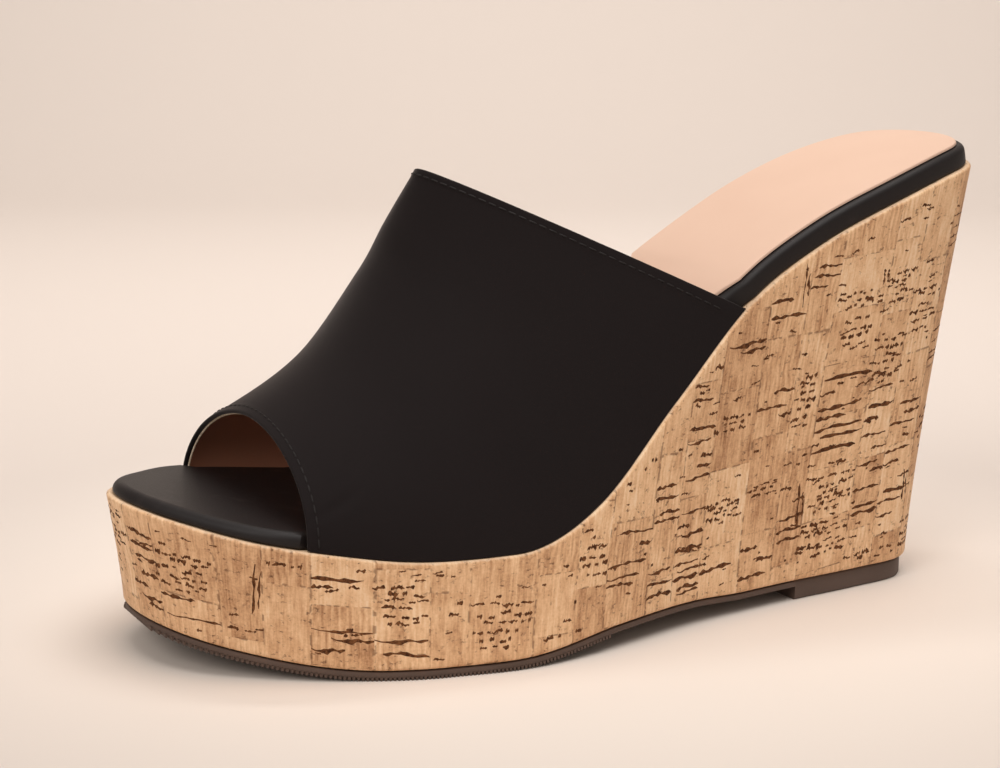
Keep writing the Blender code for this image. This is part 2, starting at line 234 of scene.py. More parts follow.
# %% [markdown]
# ## Light and floor
# The shoe stands on a pale warm floor that curves up into a backdrop, under one wide soft light from above
# and a weaker one from the front. Wide lights give the soft edge to the shadows under toe and heel. A third
# light, out of the picture, washes the backdrop.

# %% Floor, backdrop and lights
# Floor colours: the painted pool of light near the shoe, then painted shade further away from it.
FLOOR_POOL_AND_SHADE_TONES = ((0.84, 0.750, 0.675, 1), (0.66, 0.582, 0.528, 1))
FLOOR_REACH = 3.0
BACKDROP_START = 0.9
BACKDROP_RADIUS = 0.6
BACKDROP_STEPS = 12
AWAY = Vector((-math.sin(CAMERA_AZIMUTH), math.cos(CAMERA_AZIMUTH), 0))
LIGHTS = {
    "name": ("overhead", "front", "wash"),
    "azimuth": (100, 32, 62),
    "elevation": (72, 35, 28),
    "distance": (1.3, 1.5, 1.3),
    "size": (1.1, 0.9, 0.8),
    "power": (10, 7, 11),
    "colour": ((1.0, 0.97, 0.95), (1.0, 0.97, 0.94), (1.0, 0.97, 0.94)),
    "target": (CAMERA_TARGET, CAMERA_TARGET, AWAY * 1.45 + Vector((0, 0, 0.4))),
}
WORLD_COLOUR = (1.0, 0.93, 0.86, 1)
WORLD_STRENGTH = 0.36


def add_light(name, azimuth, elevation, distance, size, power, colour, target):
    """An area light aimed at a target, from an azimuth and an elevation in degrees."""
    a, e = math.radians(azimuth), math.radians(elevation)
    toward = Vector((math.sin(a) * math.cos(e), -math.cos(a) * math.cos(e), math.sin(e)))
    data = bpy.data.lights.new(name, "AREA")
    data.shape = "DISK"
    data.size = size
    data.energy = power
    data.color = colour
    light = bpy.data.objects.new(name, data)
    light.location = target + toward * distance
    light.rotation_mode = "QUATERNION"
    light.rotation_quaternion = toward.to_track_quat("Z", "Y")
    bpy.context.scene.collection.objects.link(light)


def add_backdrop():
    """A floor that bends up behind the shoe, away from the camera."""
    rows = [(-FLOOR_REACH, 0.0), (BACKDROP_START, 0.0)]
    for k in range(1, BACKDROP_STEPS + 1):
        bend = math.pi / 2 * k / BACKDROP_STEPS
        run = BACKDROP_START + BACKDROP_RADIUS * math.sin(bend)
        rows.append((run, BACKDROP_RADIUS * (1 - math.cos(bend))))
    rows.append((BACKDROP_START + BACKDROP_RADIUS, FLOOR_REACH))
    across = Vector((AWAY.y, -AWAY.x, 0))
    vertices = []
    for run, rise in rows:
        for side in (-FLOOR_REACH, FLOOR_REACH):
            vertices.append(AWAY * run + across * side + Vector((0, 0, rise)))
    faces = [(2 * k, 2 * k + 1, 2 * k + 3, 2 * k + 2) for k in range(len(rows) - 1)]
    mesh = bpy.data.meshes.new("backdrop")
    mesh.from_pydata(vertices, [], faces)
    mesh.shade_smooth()
    backdrop = bpy.data.objects.new("backdrop", mesh)
    bpy.context.scene.collection.objects.link(backdrop)
    return backdrop


backdrop = add_backdrop()
for row in zip(*LIGHTS.values()):
    add_light(*row)
world = bpy.data.worlds.new("studio")
world.use_nodes = True
world.node_tree.nodes["Background"].inputs["Color"].default_value = WORLD_COLOUR
world.node_tree.nodes["Background"].inputs["Strength"].default_value = WORLD_STRENGTH
bpy.context.scene.world = world
bpy.context.scene.view_settings.view_transform = "Standard"

# %% [markdown]
# ## Writing a finish as sums
# A procedural finish is a chain of small sums on numbers that change over a surface. The class below wraps
# one output of a node, so that `mask * 0.5 + grain` adds the Math nodes by itself. Every other node comes
# from its `node` method, which takes a type, its settings and the values or links of its sockets.

# %% A socket that can be added and multiplied


class Signal:
    """One node output. Python's operators on it add Math nodes to its tree."""

    def __init__(self, tree, socket):
        self.tree = tree
        self.socket = socket

    def node(self, kind, settings=None, inputs=None, output=0):
        made = self.tree.nodes.new(kind)
        for name, value in (settings or {}).items():
            if name == "stops":
                set_stops(made.color_ramp, value)
            else:
                setattr(made, name, value)
        for name, value in (inputs or {}).items():
            if isinstance(value, Signal):
                self.tree.links.new(value.socket, made.inputs[name])
            else:
                made.inputs[name].default_value = value
        return Signal(self.tree, made.outputs[output])

    def math(self, operation, *values):
        inputs = dict(enumerate(values))
        return self.node("ShaderNodeMath", {"operation": operation}, inputs)

    def __add__(self, other):
        return self.math("ADD", self, other)

    def __sub__(self, other):
        return self.math("SUBTRACT", self, other)

    def __rsub__(self, other):
        return self.math("SUBTRACT", other, self)

    def __mul__(self, other):
        return self.math("MULTIPLY", self, other)

    def __truediv__(self, other):
        return self.math("DIVIDE", self, other)

    __radd__ = __add__

    def floor(self):
        return self.math("FLOOR", self)

    def fraction(self):
        return self.math("FRACT", self)

    def sine(self):
        return self.math("SINE", self)

    def size(self):
        return self.math("ABSOLUTE", self)

    def least(self, other):
        return self.math("MINIMUM", self, other)

    def most(self, other):
        return self.math("MAXIMUM", self, other)

    def ramp(self, low, high):
        """0 below low, 1 above high and smooth between."""
        names = {"Value": self, "From Min": low, "From Max": high}
        return self.node("ShaderNodeMapRange", {"interpolation_type": "SMOOTHSTEP"}, names)

    def parts(self):
        split = self.node("ShaderNodeSeparateXYZ", inputs={0: self})
        return [Signal(self.tree, socket) for socket in split.socket.node.outputs]

    def vector(self, x, y, z=0.0):
        return self.node("ShaderNodeCombineXYZ", inputs={0: x, 1: y, 2: z})

    def noise(self, vector, scale, detail, roughness=0.5):
        values = {"Vector": vector, "Scale": scale, "Detail": detail, "Roughness": roughness}
        return self.node("ShaderNodeTexNoise", inputs=values)

    def blend(self, first, second, share):
        """Two colours mixed by a share."""
        names = {"Factor": share, 6: first, 7: second}
        return self.node("ShaderNodeMix", {"data_type": "RGBA"}, names, 2)


def set_stops(ramp, stops):
    while len(ramp.elements) > len(stops):
        ramp.elements.remove(ramp.elements[-1])
    while len(ramp.elements) < len(stops):
        ramp.elements.new(1.0)
    for element, (place, colour) in zip(ramp.elements, stops):
        element.position = place
        element.color = (*colour, 1)


def start_material(name, roughness, **constants):
    """A material with a Principled shader, its constant sockets, and a first signal to build on."""
    material = bpy.data.materials.new(name)
    material.use_nodes = True
    tree = material.node_tree
    shader = tree.nodes["Principled BSDF"]
    shader.inputs["Roughness"].default_value = roughness
    for socket_name, value in constants.items():
        shader.inputs[socket_name.replace("_", " ")].default_value = value
    place = tree.nodes.new("ShaderNodeTexCoord").outputs["Object"]
    return material, shader, Signal(tree, place)


def connect(shader, name, signal):
    signal.tree.links.new(signal.socket, shader.inputs[name])


def add_bump(shader, height, distance, strength=1.0):
    """Relief: the height signal, in shares of a distance in metres, tilts the surface."""
    names = {"Height": height, "Distance": distance, "Strength": strength}
    connect(shader, "Normal", height.node("ShaderNodeBump", inputs=names))


print("a signal knows", len([name for name in dir(Signal) if not name.startswith("__")]), "named sums")

# %% [markdown]
# ## Skins over layers
# Every flat piece of this shoe is a loft: layers of outline, each drawn a little further in or up, with a
# skin of faces between them and a cap of cross strips at both ends. The seam lies at the back of the heel.
# The map carries the run round the outline and the height, in metres, for patterns that follow the wall.

# %% Mesh helpers
CREASE_ANGLE = math.radians(40)


def make_piece(name, vertices, faces, materials, uv, slots=None):
    """A mesh object at the origin: doubles merged, faces out, shaded smooth but at its sharp edges."""
    mesh = bpy.data.meshes.new(name)
    mesh.from_pydata(np.asarray(vertices).tolist(), [], faces)
    layer = mesh.uv_layers.new(name="wall_map")
    layer.data.foreach_set("uv", np.asarray(uv, np.float32).ravel())
    for material in materials:
        mesh.materials.append(material)
    if slots is not None:
        mesh.polygons.foreach_set("material_index", slots)
    return link_piece(name, mesh)


def link_piece(name, mesh):
    """Links a mesh as a piece, with its doubles merged and its faces turned out."""
    shape = bmesh.new()
    shape.from_mesh(mesh)
    bmesh.ops.remove_doubles(shape, verts=shape.verts, dist=1e-7)
    bmesh.ops.recalc_face_normals(shape, faces=shape.faces)
    shape.to_mesh(mesh)
    shape.free()
    mesh.shade_smooth()
    mesh.set_sharp_from_angle(angle=CREASE_ANGLE)
    piece = bpy.data.objects.new(name, mesh)
    bpy.context.scene.collection.objects.link(piece)
    return piece


def ring_of(layer):
    """A layer's two sides as one ring of points, from the back of the heel round and back to it."""
    lateral, medial = layer
    return np.concatenate([lateral, medial[::-1], lateral[:1]])


def run_of(points):
    """Distance travelled along a row of points."""
    return np.concatenate([[0], np.cumsum(np.linalg.norm(np.diff(points, axis=0), axis=1))])


def make_loft(name, layers, material):
    """A closed skin over layers of an outline's two sides. Its map holds run and height."""
    count = len(layers[0][0])
    ring = 2 * count + 1
    rings = [ring_of(layer) for layer in layers]
    run = run_of(rings[len(rings) // 2])
    faces, uv = [], []
    for low in range(len(layers) - 1):
        for k in range(ring - 1):
            corners = ((low, k), (low, k + 1), (low + 1, k + 1), (low + 1, k))
            faces.append([row * ring + at for row, at in corners])
            uv += [(run[at], rings[row][at, 2]) for row, at in corners]
    for end in (0, len(layers) - 1):
        for k in range(count - 1):
            across = ring - 2 - k
            corners = (k, k + 1, across - 1, across)
            faces.append([end * ring + at for at in corners])
            uv += [rings[end][at, :2] - SHOE_LENGTH for at in corners]
    return make_piece(name, np.concatenate(rings), faces, [material], uv)


def quarter_round(radius, count, rising):
    """Inset and height of each row of a round: out to the side, or from the side up to a top face."""
    rows = []
    for k in range(count + 1):
        angle = math.pi / 2 * k / count
        bend, reach = 1 - math.cos(angle), 1 - math.sin(angle)
        rows.append((radius * bend, -radius * reach) if rising else (radius * reach, radius * bend))
    return rows


def finish_piece(piece, slot, *nodes):
    """What every piece of this shoe needs: its body and the solids it stands for, which are hidden. Its slot
    is not used.
    """
    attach(piece, "root")
    if nodes:
        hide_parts(*nodes)
    triangles = sum(len(face.vertices) - 2 for face in piece.data.polygons)
    print(piece.name, triangles, "triangles")


# %% [markdown]
# ## Cork veneer
# The wedge is wrapped in thin cork veneer, glued together from upright pieces cut from the bark. Each piece
# has its own tone and its own upright grain. The dark pores of the bark run level through it and stop at
# its edge. A chart of the wall, run by height, gives the pieces: columns of uneven width, each cut into
# rows at its own heights. The sheet wasn't laid quite straight, so its levels rise and fall slowly round
# the wedge. The same sums serve in Python for the pores and in the finish for the tones.

# %% The chart of veneer pieces
COLUMN_WIDTH = 12.5 * MM
COLUMN_WAVES = ((0.15, 37 * MM), (0.05, 23 * MM))
ROW_HEIGHT = 24 * MM
ROW_LOWEST = 0.55
ROW_SPREAD = 0.9
ROW_OFFSET = 50 * MM
HEIGHT_STEP = 0.754877666
OFFSET_STEP = 0.569840291
SLANT_RISE = 9.0 * MM
SLANT_LENGTH = 0.52


def column_number(run, sine=np.sin):
    """Columns passed at a run. Two slow waves make the widths uneven."""
    number = run * (1 / COLUMN_WIDTH)
    for swing, length in COLUMN_WAVES:
        number = number + sine(run * (2 * math.pi / length)) * swing
    return number


def slant(run, sine=np.sin):
    """How far the veneer's own levels lie above the floor's, at a run."""
    return sine(run * (2 * math.pi / SLANT_LENGTH)) * SLANT_RISE


def row_number(column_floor, height, fraction=lambda value: value % 1):
    """Rows passed at a height in one column, whose row height and offset come from its number."""
    tall = fraction(column_floor * HEIGHT_STEP) * (ROW_SPREAD * ROW_HEIGHT) + ROW_LOWEST * ROW_HEIGHT
    return (fraction(column_floor * OFFSET_STEP) * ROW_OFFSET + height) / tall


print("columns round the wedge", round(float(column_number(0.55)), 1))

# %% The cork's finish
CORK_TONES = (
    (0.00, (0.200, 0.085, 0.034)),
    (0.25, (0.440, 0.225, 0.108)),
    (0.50, (0.660, 0.385, 0.205)),
    (0.75, (0.820, 0.530, 0.305)),
    (1.00, (0.900, 0.650, 0.430)),
)
CORK_SHADE = (0.130, 0.055, 0.022, 1)
# Pale colour of the painted highlight along the cork's top edge, where its round catches the light.
CORK_EDGE_HIGHLIGHT = (0.80, 0.62, 0.44, 1)
RING_PITCH = 1.5 * MM
HIGHLIGHT_BAND_EDGES = (0.6 * MM, 1.1 * MM)
CORK_RELIEF = 0.22 * MM


def cork_material():
    material, shader, place = start_material("cork", 0.62, Specular_IOR_Level=0.3)
    run, wall_height, _ = place.node("ShaderNodeUVMap", {"uv_map": "wall_map"}).parts()
    height = wall_height + slant(run, Signal.sine)
    number = column_number(run, Signal.sine)
    column_floor = number.floor()
    rows = row_number(column_floor, height, Signal.fraction)
    piece = place.vector(column_floor, rows.floor())
    tone = place.node("ShaderNodeTexWhiteNoise", {"noise_dimensions": "3D"}, {"Vector": piece})
    kind = place.node("ShaderNodeTexWhiteNoise", {"noise_dimensions": "2D"}, {"Vector": piece})
    depth = tone * 7
    fibre = place.noise(place.vector(run * 1700, height * 110, depth), 1.0, 3.0, 0.65)
    cloud = place.noise(place.vector(run * 260, height * 120, depth), 1.0, 4.0, 0.62)
    sway = place.noise(place.vector(run * 40, height * 110, depth), 1.0, 2.0)
    rings = ((run + sway * 0.004) * (2 * math.pi / RING_PITCH)).sine() * kind.ramp(0.56, 0.62)
    grit = place.noise(place.vector(run * 1500, height * 1700, depth), 1.0, 3.0, 0.7)
    shade = tone * 0.30 + cloud * 1.00 + fibre * 0.80 + grit * 0.50 + rings * 0.07 - 0.71
    colour = shade.node("ShaderNodeValToRGB", {"stops": CORK_TONES}, {"Fac": shade})
    fleck = place.noise(place.vector(run * 620, height * 1000, depth), 1.0, 3.0, 0.7)
    crumb = fleck.ramp(0.58, 0.67) * cloud.ramp(0.60, 0.42)
    colour = place.blend(colour, CORK_SHADE, crumb * 0.75)
    beside = 1 - ((number + 0.5).fraction() - 0.5).size().ramp(0.008, 0.035)
    between = 1 - ((rows + 0.5).fraction() - 0.5).size().ramp(0.004, 0.018)
    broken = place.noise(place.vector(run * 420, height * 420), 1.0, 2.0).ramp(0.48, 0.58)
    joint = beside.most(between) * broken
    colour = place.blend(colour, CORK_SHADE, joint * 0.60)
    # A painted highlight: a pale, ragged band along the top edge, where the round catches the light.
    below = place.node("ShaderNodeAttribute", {"attribute_name": "below_top"}, output=2)
    highlight_wander = place.noise(place.vector(run * 700, height * 200), 1.0, 2.0) * (1.2 * MM)
    edge_highlight = 1 - (below + highlight_wander).ramp(*HIGHLIGHT_BAND_EDGES)
    colour = place.blend(colour, CORK_EDGE_HIGHLIGHT, edge_highlight * 0.5)
    connect(shader, "Base Color", colour)
    connect(shader, "Roughness", 0.48 + fibre * 0.26)
    relief = fibre * 0.35 + cloud * 0.35 + grit * 0.3 - crumb * 0.7 - joint * 0.6
    add_bump(shader, relief, CORK_RELIEF, 0.8)
    return material


cork = cork_material()
print("cork finish nodes", len(cork.node_tree.nodes))

# %% [markdown]
# ## Trees that grow geometry
# What repeats over a surface or along a line is made by Geometry Nodes. A tree gets named inputs, and its
# sums are written with the same class as a finish's. Its holder is a small mesh of points with attributes.
# The grown result is copied to a plain mesh and the holder is removed, so that nothing stays live.

# %% Helpers for trees


def start_tree(name, **sockets):
    """A geometry tree with named inputs. They come back as signals by name."""
    tree = bpy.data.node_groups.new(name, "GeometryNodeTree")
    tree.interface.new_socket("Result", in_out="OUTPUT", socket_type="NodeSocketGeometry")
    for socket_name, kind in {"Holder": "Geometry", **sockets}.items():
        tree.interface.new_socket(socket_name, in_out="INPUT", socket_type="NodeSocket" + kind)
    entry = tree.nodes.new("NodeGroupInput")
    return tree, {socket.name: Signal(tree, socket) for socket in entry.outputs if socket.name}


def end_tree(geometry, material):
    """Ends a tree in real instances with one material."""
    real = geometry.node("GeometryNodeRealizeInstances", inputs={"Geometry": geometry})
    dressed = real.node("GeometryNodeSetMaterial", inputs={"Geometry": real, "Material": material})
    tree = geometry.tree
    tree.links.new(dressed.socket, tree.nodes.new("NodeGroupOutput").inputs[0])


def attribute(signal, name, kind="FLOAT"):
    """A named attribute of the holder's points."""
    return signal.node("GeometryNodeInputNamedAttribute", {"data_type": kind}, {"Name": name})


def make_holder(points, edges=(), **attributes):
    """A mesh of points that carries attributes: rows of three numbers or single numbers."""
    mesh = bpy.data.meshes.new("holder")
    mesh.from_pydata(np.asarray(points).tolist(), list(edges), [])
    for name, values in attributes.items():
        values = np.asarray(values, np.float32)
        kind, field = ("FLOAT_VECTOR", "vector") if values.ndim == 2 else ("FLOAT", "value")
        mesh.attributes.new(name, kind, "POINT").data.foreach_set(field, values.ravel())
    holder = bpy.data.objects.new("holder", mesh)
    bpy.context.scene.collection.objects.link(holder)
    return holder


def grow(name, tree, holder, **values):
    """Runs a tree on its holder and keeps the result as a plain piece."""
    modifier = holder.modifiers.new(tree.name, "NODES")
    modifier.node_group = tree
    for item in tree.interface.items_tree:
        if item.in_out == "INPUT" and item.name in values:
            modifier[item.identifier] = values[item.name]
    graph = bpy.context.evaluated_depsgraph_get()
    mesh = bpy.data.meshes.new_from_object(holder.evaluated_get(graph))
    mesh.name = name
    holder.modifiers.remove(modifier)
    bpy.data.objects.remove(holder)
    return link_piece(name, mesh)


def make_seed(name, vertices, faces):
    """A small closed mesh that a tree repeats. It is kept out of the scene."""
    mesh = bpy.data.meshes.new(name)
    mesh.from_pydata(np.asarray(vertices).tolist(), [], faces)
    return bpy.data.objects.new(name, mesh)


def sliver(name, spine, half_width, rise, sink):
    """A closed flat sliver along X: at each spine point a low roof of three corners."""
    vertices, faces = [], []
    for (x, y), half in zip(spine, half_width):
        vertices += [(x, y - half, -sink), (x, y, rise), (x, y + half, -sink)]
    for k in range(len(spine) - 1):
        a = 3 * k
        faces += [(a, a + 3, a + 4, a + 1), (a + 1, a + 4, a + 5, a + 2), (a + 2, a + 5, a + 3, a)]
    end = 3 * (len(spine) - 1)
    faces += [(0, 1, 2), (end + 2, end + 1, end)]
    return make_seed(name, vertices, faces)


print("tree helpers ready")

# %% [markdown]
# ## The wedge
# The real wedge is a light core under the veneer. Its wall leans: it swells from the narrower bottom edge to
# the wider top edge, soonest near the floor. That is a rule between four edges, so a tree draws it: a grid
# of columns and rows is laid over the edges in three steps, the round at the floor, the wall, and the
# crisper round at the top. Two more grids close it. Each point also notes how far it lies below the top
# edge, for a pale band of painted highlight where the top round catches the light.

# %% The wedge's edges
CORK_TOP_ROUND = 0.8 * MM
CORK_BOTTOM_ROUND = 1.2 * MM
FINE_STATIONS = 220
WALL_ROWS = 36
ROUND_ROWS = 5


def wedge_edges(stations):
    """Four rings: the start and end of the round at the floor, and of the round at the top."""
    floor = bottom_height(stations)
    return [ring_of(layer) for layer in (
        bottom_edge(stations, CORK_BOTTOM_ROUND, floor),
        bottom_edge(stations, 0, floor + CORK_BOTTOM_ROUND),
        top_edge(stations, 0, CORK_TOP_ROUND),
        top_edge(stations, CORK_TOP_ROUND, 0),
    )]


floor_ring, low_ring, high_ring, top_ring = wedge_edges(spread(0, 1, FINE_STATIONS))
half_way = np.array([0.5**WALL_LEAN_POWER, 0.5**WALL_LEAN_POWER, 0.5])
wall_run = run_of(low_ring + (high_ring - low_ring) * half_way)
print("way round the wedge", round(float(wall_run[-1]), 4))

# %% The wedge tree


def sample(holder, value, index, kind="FLOAT_VECTOR"):
    """A value of one point of the holder."""
    names = {"Geometry": holder, "Value": value, "Index": index}
    return holder.node("GeometryNodeSampleIndex", {"data_type": kind}, names)


def vector_math(operation, first, second):
    return first.node("ShaderNodeVectorMath", {"operation": operation}, {0: first, 1: second})


def store_map(geometry, chart):
    kind = {"data_type": "FLOAT2", "domain": "CORNER"}
    names = {"Geometry": geometry, "Name": "wall_map", "Value": chart}
    return geometry.node("GeometryNodeStoreNamedAttribute", kind, names)


def wall_tree():
    """A wall over four rings of points: a round, a leaning wall and a round, closed below and above."""
    tree, given = start_tree(
        "wall_over_edges", Columns="Int", Rounds="Int", Rows="Int",
        Lean="Float", Aside="Float", Finish="Material",
    )
    holder, columns, rounds, rows = (given[name] for name in ("Holder", "Columns", "Rounds", "Rows"))
    index = holder.node("GeometryNodeInputIndex")
    levels = rounds * 2 + rows + 1
    column = (index / levels).floor()
    row = index - column * levels
    floor = sample(holder, holder.node("GeometryNodeInputPosition"), column)
    rings = [attribute(holder, name, "FLOAT_VECTOR") for name in ("low", "high", "top")]
    low, high, top = (sample(holder, ring, column) for ring in rings)
    first = (row / rounds).least(1.0) * (math.pi / 2)
    up = ((row - rounds) / rows).most(0.0).least(1.0)
    last = ((row - rounds - rows) / rounds).most(0.0) * (math.pi / 2)
    steps = (
        (floor, low, first.sine(), 1 - first.math("COSINE", first)),
        (low, high, up.math("POWER", up, given["Lean"]), up),
        (high, top, 1 - last.math("COSINE", last), last.sine()),
    )
    place = floor
    for start, end, across, rise in steps:
        way = vector_math("SUBTRACT", end, start)
        place = vector_math("ADD", place, vector_math("MULTIPLY", way, way.vector(across, across, rise)))
    grid = holder.node("GeometryNodeMeshGrid", inputs={"Vertices X": columns, "Vertices Y": levels})
    wall = holder.node("GeometryNodeSetPosition", inputs={"Geometry": grid, "Position": place})
    run = sample(holder, attribute(holder, "run"), column, "FLOAT")
    run = holder.node("GeometryNodeFieldOnDomain", {"domain": "POINT", "data_type": "FLOAT"}, {0: run})
    x, y, z = holder.node("GeometryNodeInputPosition").parts()
    parts = [store_map(wall, holder.vector(run, z))]
    station = (index / 2).floor()
    other = station + (index - station * 2) * (columns - 2 - station * 2)
    for edge_place in (holder.node("GeometryNodeInputPosition"), attribute(holder, "top", "FLOAT_VECTOR")):
        counts = {"Vertices X": (columns - 1) / 2, "Vertices Y": 2}
        strip = holder.node("GeometryNodeMeshGrid", inputs=counts)
        names = {"Geometry": strip, "Position": sample(holder, edge_place, other)}
        cap = holder.node("GeometryNodeSetPosition", inputs=names)
        parts.append(store_map(cap, holder.vector(x - given["Aside"], y - given["Aside"])))
    joined = holder.node("GeometryNodeJoinGeometry")
    for part in parts:
        tree.links.new(part.socket, joined.socket.node.inputs[0])
    end_tree(joined, given["Finish"])
    return tree


# %% Wedge in cork
edge_holder = make_holder(floor_ring, low=low_ring, high=high_ring, top=top_ring, run=wall_run)
cork_cover = grow(
    "cork_cover", wall_tree(), edge_holder, Columns=len(wall_run), Rounds=ROUND_ROWS, Rows=WALL_ROWS,
    Lean=WALL_LEAN_POWER, Aside=SHOE_LENGTH, Finish=cork,
)
below_top = cork_cover.data.attributes.new("below_top", "FLOAT", "POINT")
points = np.array([vertex.co for vertex in cork_cover.data.vertices])
below_top.data.foreach_set("value", top_height(SHOE_LENGTH / 2 - points[:, 1]) - points[:, 2])
finish_piece(cork_cover, "cork", "cork_wedge")

# %% [markdown]
# ## Pores of the bark
# Cork bark has level pores filled with dark crumb. On a veneer piece they make streaks, which end where
# the piece ends, or rows of dots, and a few strays besides. They are laid out on the flat chart, piece by
# piece, as points with a length, a thickness, a turn and a kind. A tree then sets a sliver of that kind on
# each point, and bends the whole chart round the wedge by looking up each corner in the wall's own map.

# %% Where the pores lie
PORE_SEED = 11
CHART_COUNT = 4000
PORE_KINDS = 12
DOT_LENGTH = 2.2 * MM
EDGE_CLEARANCE = 0.2 * MM
STREAK_SHARE = 0.50
DOT_SHARE = 0.43
UPRIGHT_SHARE = 0.14
LONG_SHARE = 0.6
STREAK_COUNT = (3, 7)
STREAK_THICKNESS = (0.9 * MM, 1.6 * MM)
STREAK_STEP = (1.7 * MM, 4.6 * MM)
ROW_COUNT = (3, 8)
ROW_STEP = (1.1 * MM, 2.4 * MM)
ROW_WANDER = 0.25 * MM
DASH_LENGTH = (0.7 * MM, 3.4 * MM)
DASH_THICKNESS = (0.7 * MM, 1.6 * MM)
DASH_GAP = (0.2 * MM, 1.5 * MM)
STRAY_COUNT = (2, 7)
STRAY_LENGTH = (0.7 * MM, 3.2 * MM)
STRAY_THICKNESS = (0.5 * MM, 1.2 * MM)
UPRIGHT_PLACES = (0.5 * MM, 2.0 * MM)
UPRIGHT_THICKNESS = (0.7 * MM, 1.2 * MM)
pore_random = np.random.default_rng(PORE_SEED)
wall_low = low_ring[:, 2] + EDGE_CLEARANCE
wall_high = high_ring[:, 2] - EDGE_CLEARANCE


def veneer_pieces():
    """The veneer pieces of the chart: run and height of their corners."""
    fine_run = np.linspace(0, wall_run[-1], CHART_COUNT)
    numbers = column_number(fine_run)
    pieces = []
    for number in range(int(numbers[-1]) + 1):
        start, end = np.interp([number, number + 1], numbers, fine_run)
        offset = row_number(number, 0.0)
        tall = 1 / (row_number(number, 1.0) - offset)
        for row in range(int((wall_high.max() + SLANT_RISE) / tall + offset) + 1):
            low = (row - offset) * tall
            pieces.append((start, end, low, low + tall))
    return pieces


def add_pore(pores, run, level, length, thickness, turned):
    """Notes one pore at a level of the veneer, if the whole of it lies on the wall."""
    height = level - slant(run)
    turned -= SLANT_RISE * 2 * math.pi / SLANT_LENGTH * math.cos(run * 2 * math.pi / SLANT_LENGTH)
    flat, steep = abs(math.cos(turned)), abs(math.sin(turned))
    reach = length / 2 * flat + thickness * steep
    rise = length / 2 * steep + thickness * flat
    if run - reach < 0 or run + reach > wall_run[-1]:
        return
    for at in (run - reach, run + reach):
        low, high = (np.interp(at, wall_run, line) for line in (wall_low, wall_high))
        if not low + rise < height < high - rise:
            return
    kind = pore_random.integers(PORE_KINDS) + (PORE_KINDS if length > DOT_LENGTH else 0)
    pores.append((run, height, length, thickness, turned, kind))


def add_streaks(pores, start, end, level):
    """Level streaks, most of them from side to side, one above another."""
    draw = pore_random.uniform
    width = end - start
    for _ in range(pore_random.integers(*STREAK_COUNT)):
        reach = width * (draw(0.75, 0.98) if draw() < LONG_SHARE else draw(0.3, 0.7))
        side = start if draw() < 0.5 else end - reach
        add_pore(pores, side + reach / 2, level, reach, draw(*STREAK_THICKNESS), draw(-0.03, 0.03))
        level += draw(*STREAK_STEP)


def add_dots(pores, start, end, level):
    """Rows of dots and short dashes, one above another."""
    draw = pore_random.uniform
    width = end - start
    for _ in range(pore_random.integers(*ROW_COUNT)):
        run = start + draw(0, 0.4) * width
        stop = end - draw(0, 0.4) * width
        while run < stop:
            length = draw(*DASH_LENGTH)
            place = level + pore_random.normal() * ROW_WANDER
            add_pore(pores, run + length / 2, place, length, draw(*DASH_THICKNESS), draw(-0.1, 0.1))
            run += length + draw(*DASH_GAP)
        level += draw(*ROW_STEP)


def fill_piece(pores, start, end, low, high):
    """One veneer piece: streaks, rows of dots or neither, then strays and at times two uprights."""
    draw = pore_random.uniform
    tall = high - low
    habit = draw()
    level = low + draw(0.05, 0.5) * tall
    if habit < STREAK_SHARE:
        add_streaks(pores, start, end, level)
    elif habit < STREAK_SHARE + DOT_SHARE:
        add_dots(pores, start, end, level)
    for _ in range(pore_random.integers(*STRAY_COUNT)):
        length = draw(*STRAY_LENGTH)
        add_pore(pores, draw(start, end), draw(low, high), length, draw(*STRAY_THICKNESS), draw(-0.2, 0.2))
    if draw() < UPRIGHT_SHARE:
        for beside in UPRIGHT_PLACES:
            length = tall * draw(0.2, 0.55)
            add_pore(pores, start + beside, (low + high) / 2, length, draw(*UPRIGHT_THICKNESS), math.pi / 2)


pores = []
for corners in veneer_pieces():
    fill_piece(pores, *corners)
pores = np.array(pores)
print("pores", len(pores))

# %% The pore tree
PORE_RISE = 0.04 * MM
PORE_SINK = 0.015 * MM
SPINE_POINTS = 9
DOT_WANDER = 0.05
STREAK_WANDER = 0.17
BARK_DARK = (0.046, 0.014, 0.005, 1)
BARK_LIGHT = (0.215, 0.085, 0.031, 1)


def pore_seeds():
    """Slivers one metre long and wide, to be scaled: first the plain dots, then the streaks that wander."""
    seeds = bpy.data.collections.new("pore_kinds")
    for kind in range(2 * PORE_KINDS):
        x = np.linspace(-0.5, 0.5, SPINE_POINTS)
        swell = 0.75 + 0.55 * pore_random.uniform(-0.8, 1.0, SPINE_POINTS)
        swell[[0, -1]] *= 0.4
        sway = DOT_WANDER if kind < PORE_KINDS else STREAK_WANDER
        wander = np.cumsum(pore_random.normal(0, sway, SPINE_POINTS))
        wander -= np.linspace(wander[0], wander[-1], SPINE_POINTS)
        name = f"pore_kind_{kind:02d}"
        seeds.objects.link(sliver(name, list(zip(x, wander)), swell / 2, PORE_RISE, PORE_SINK))
    return seeds


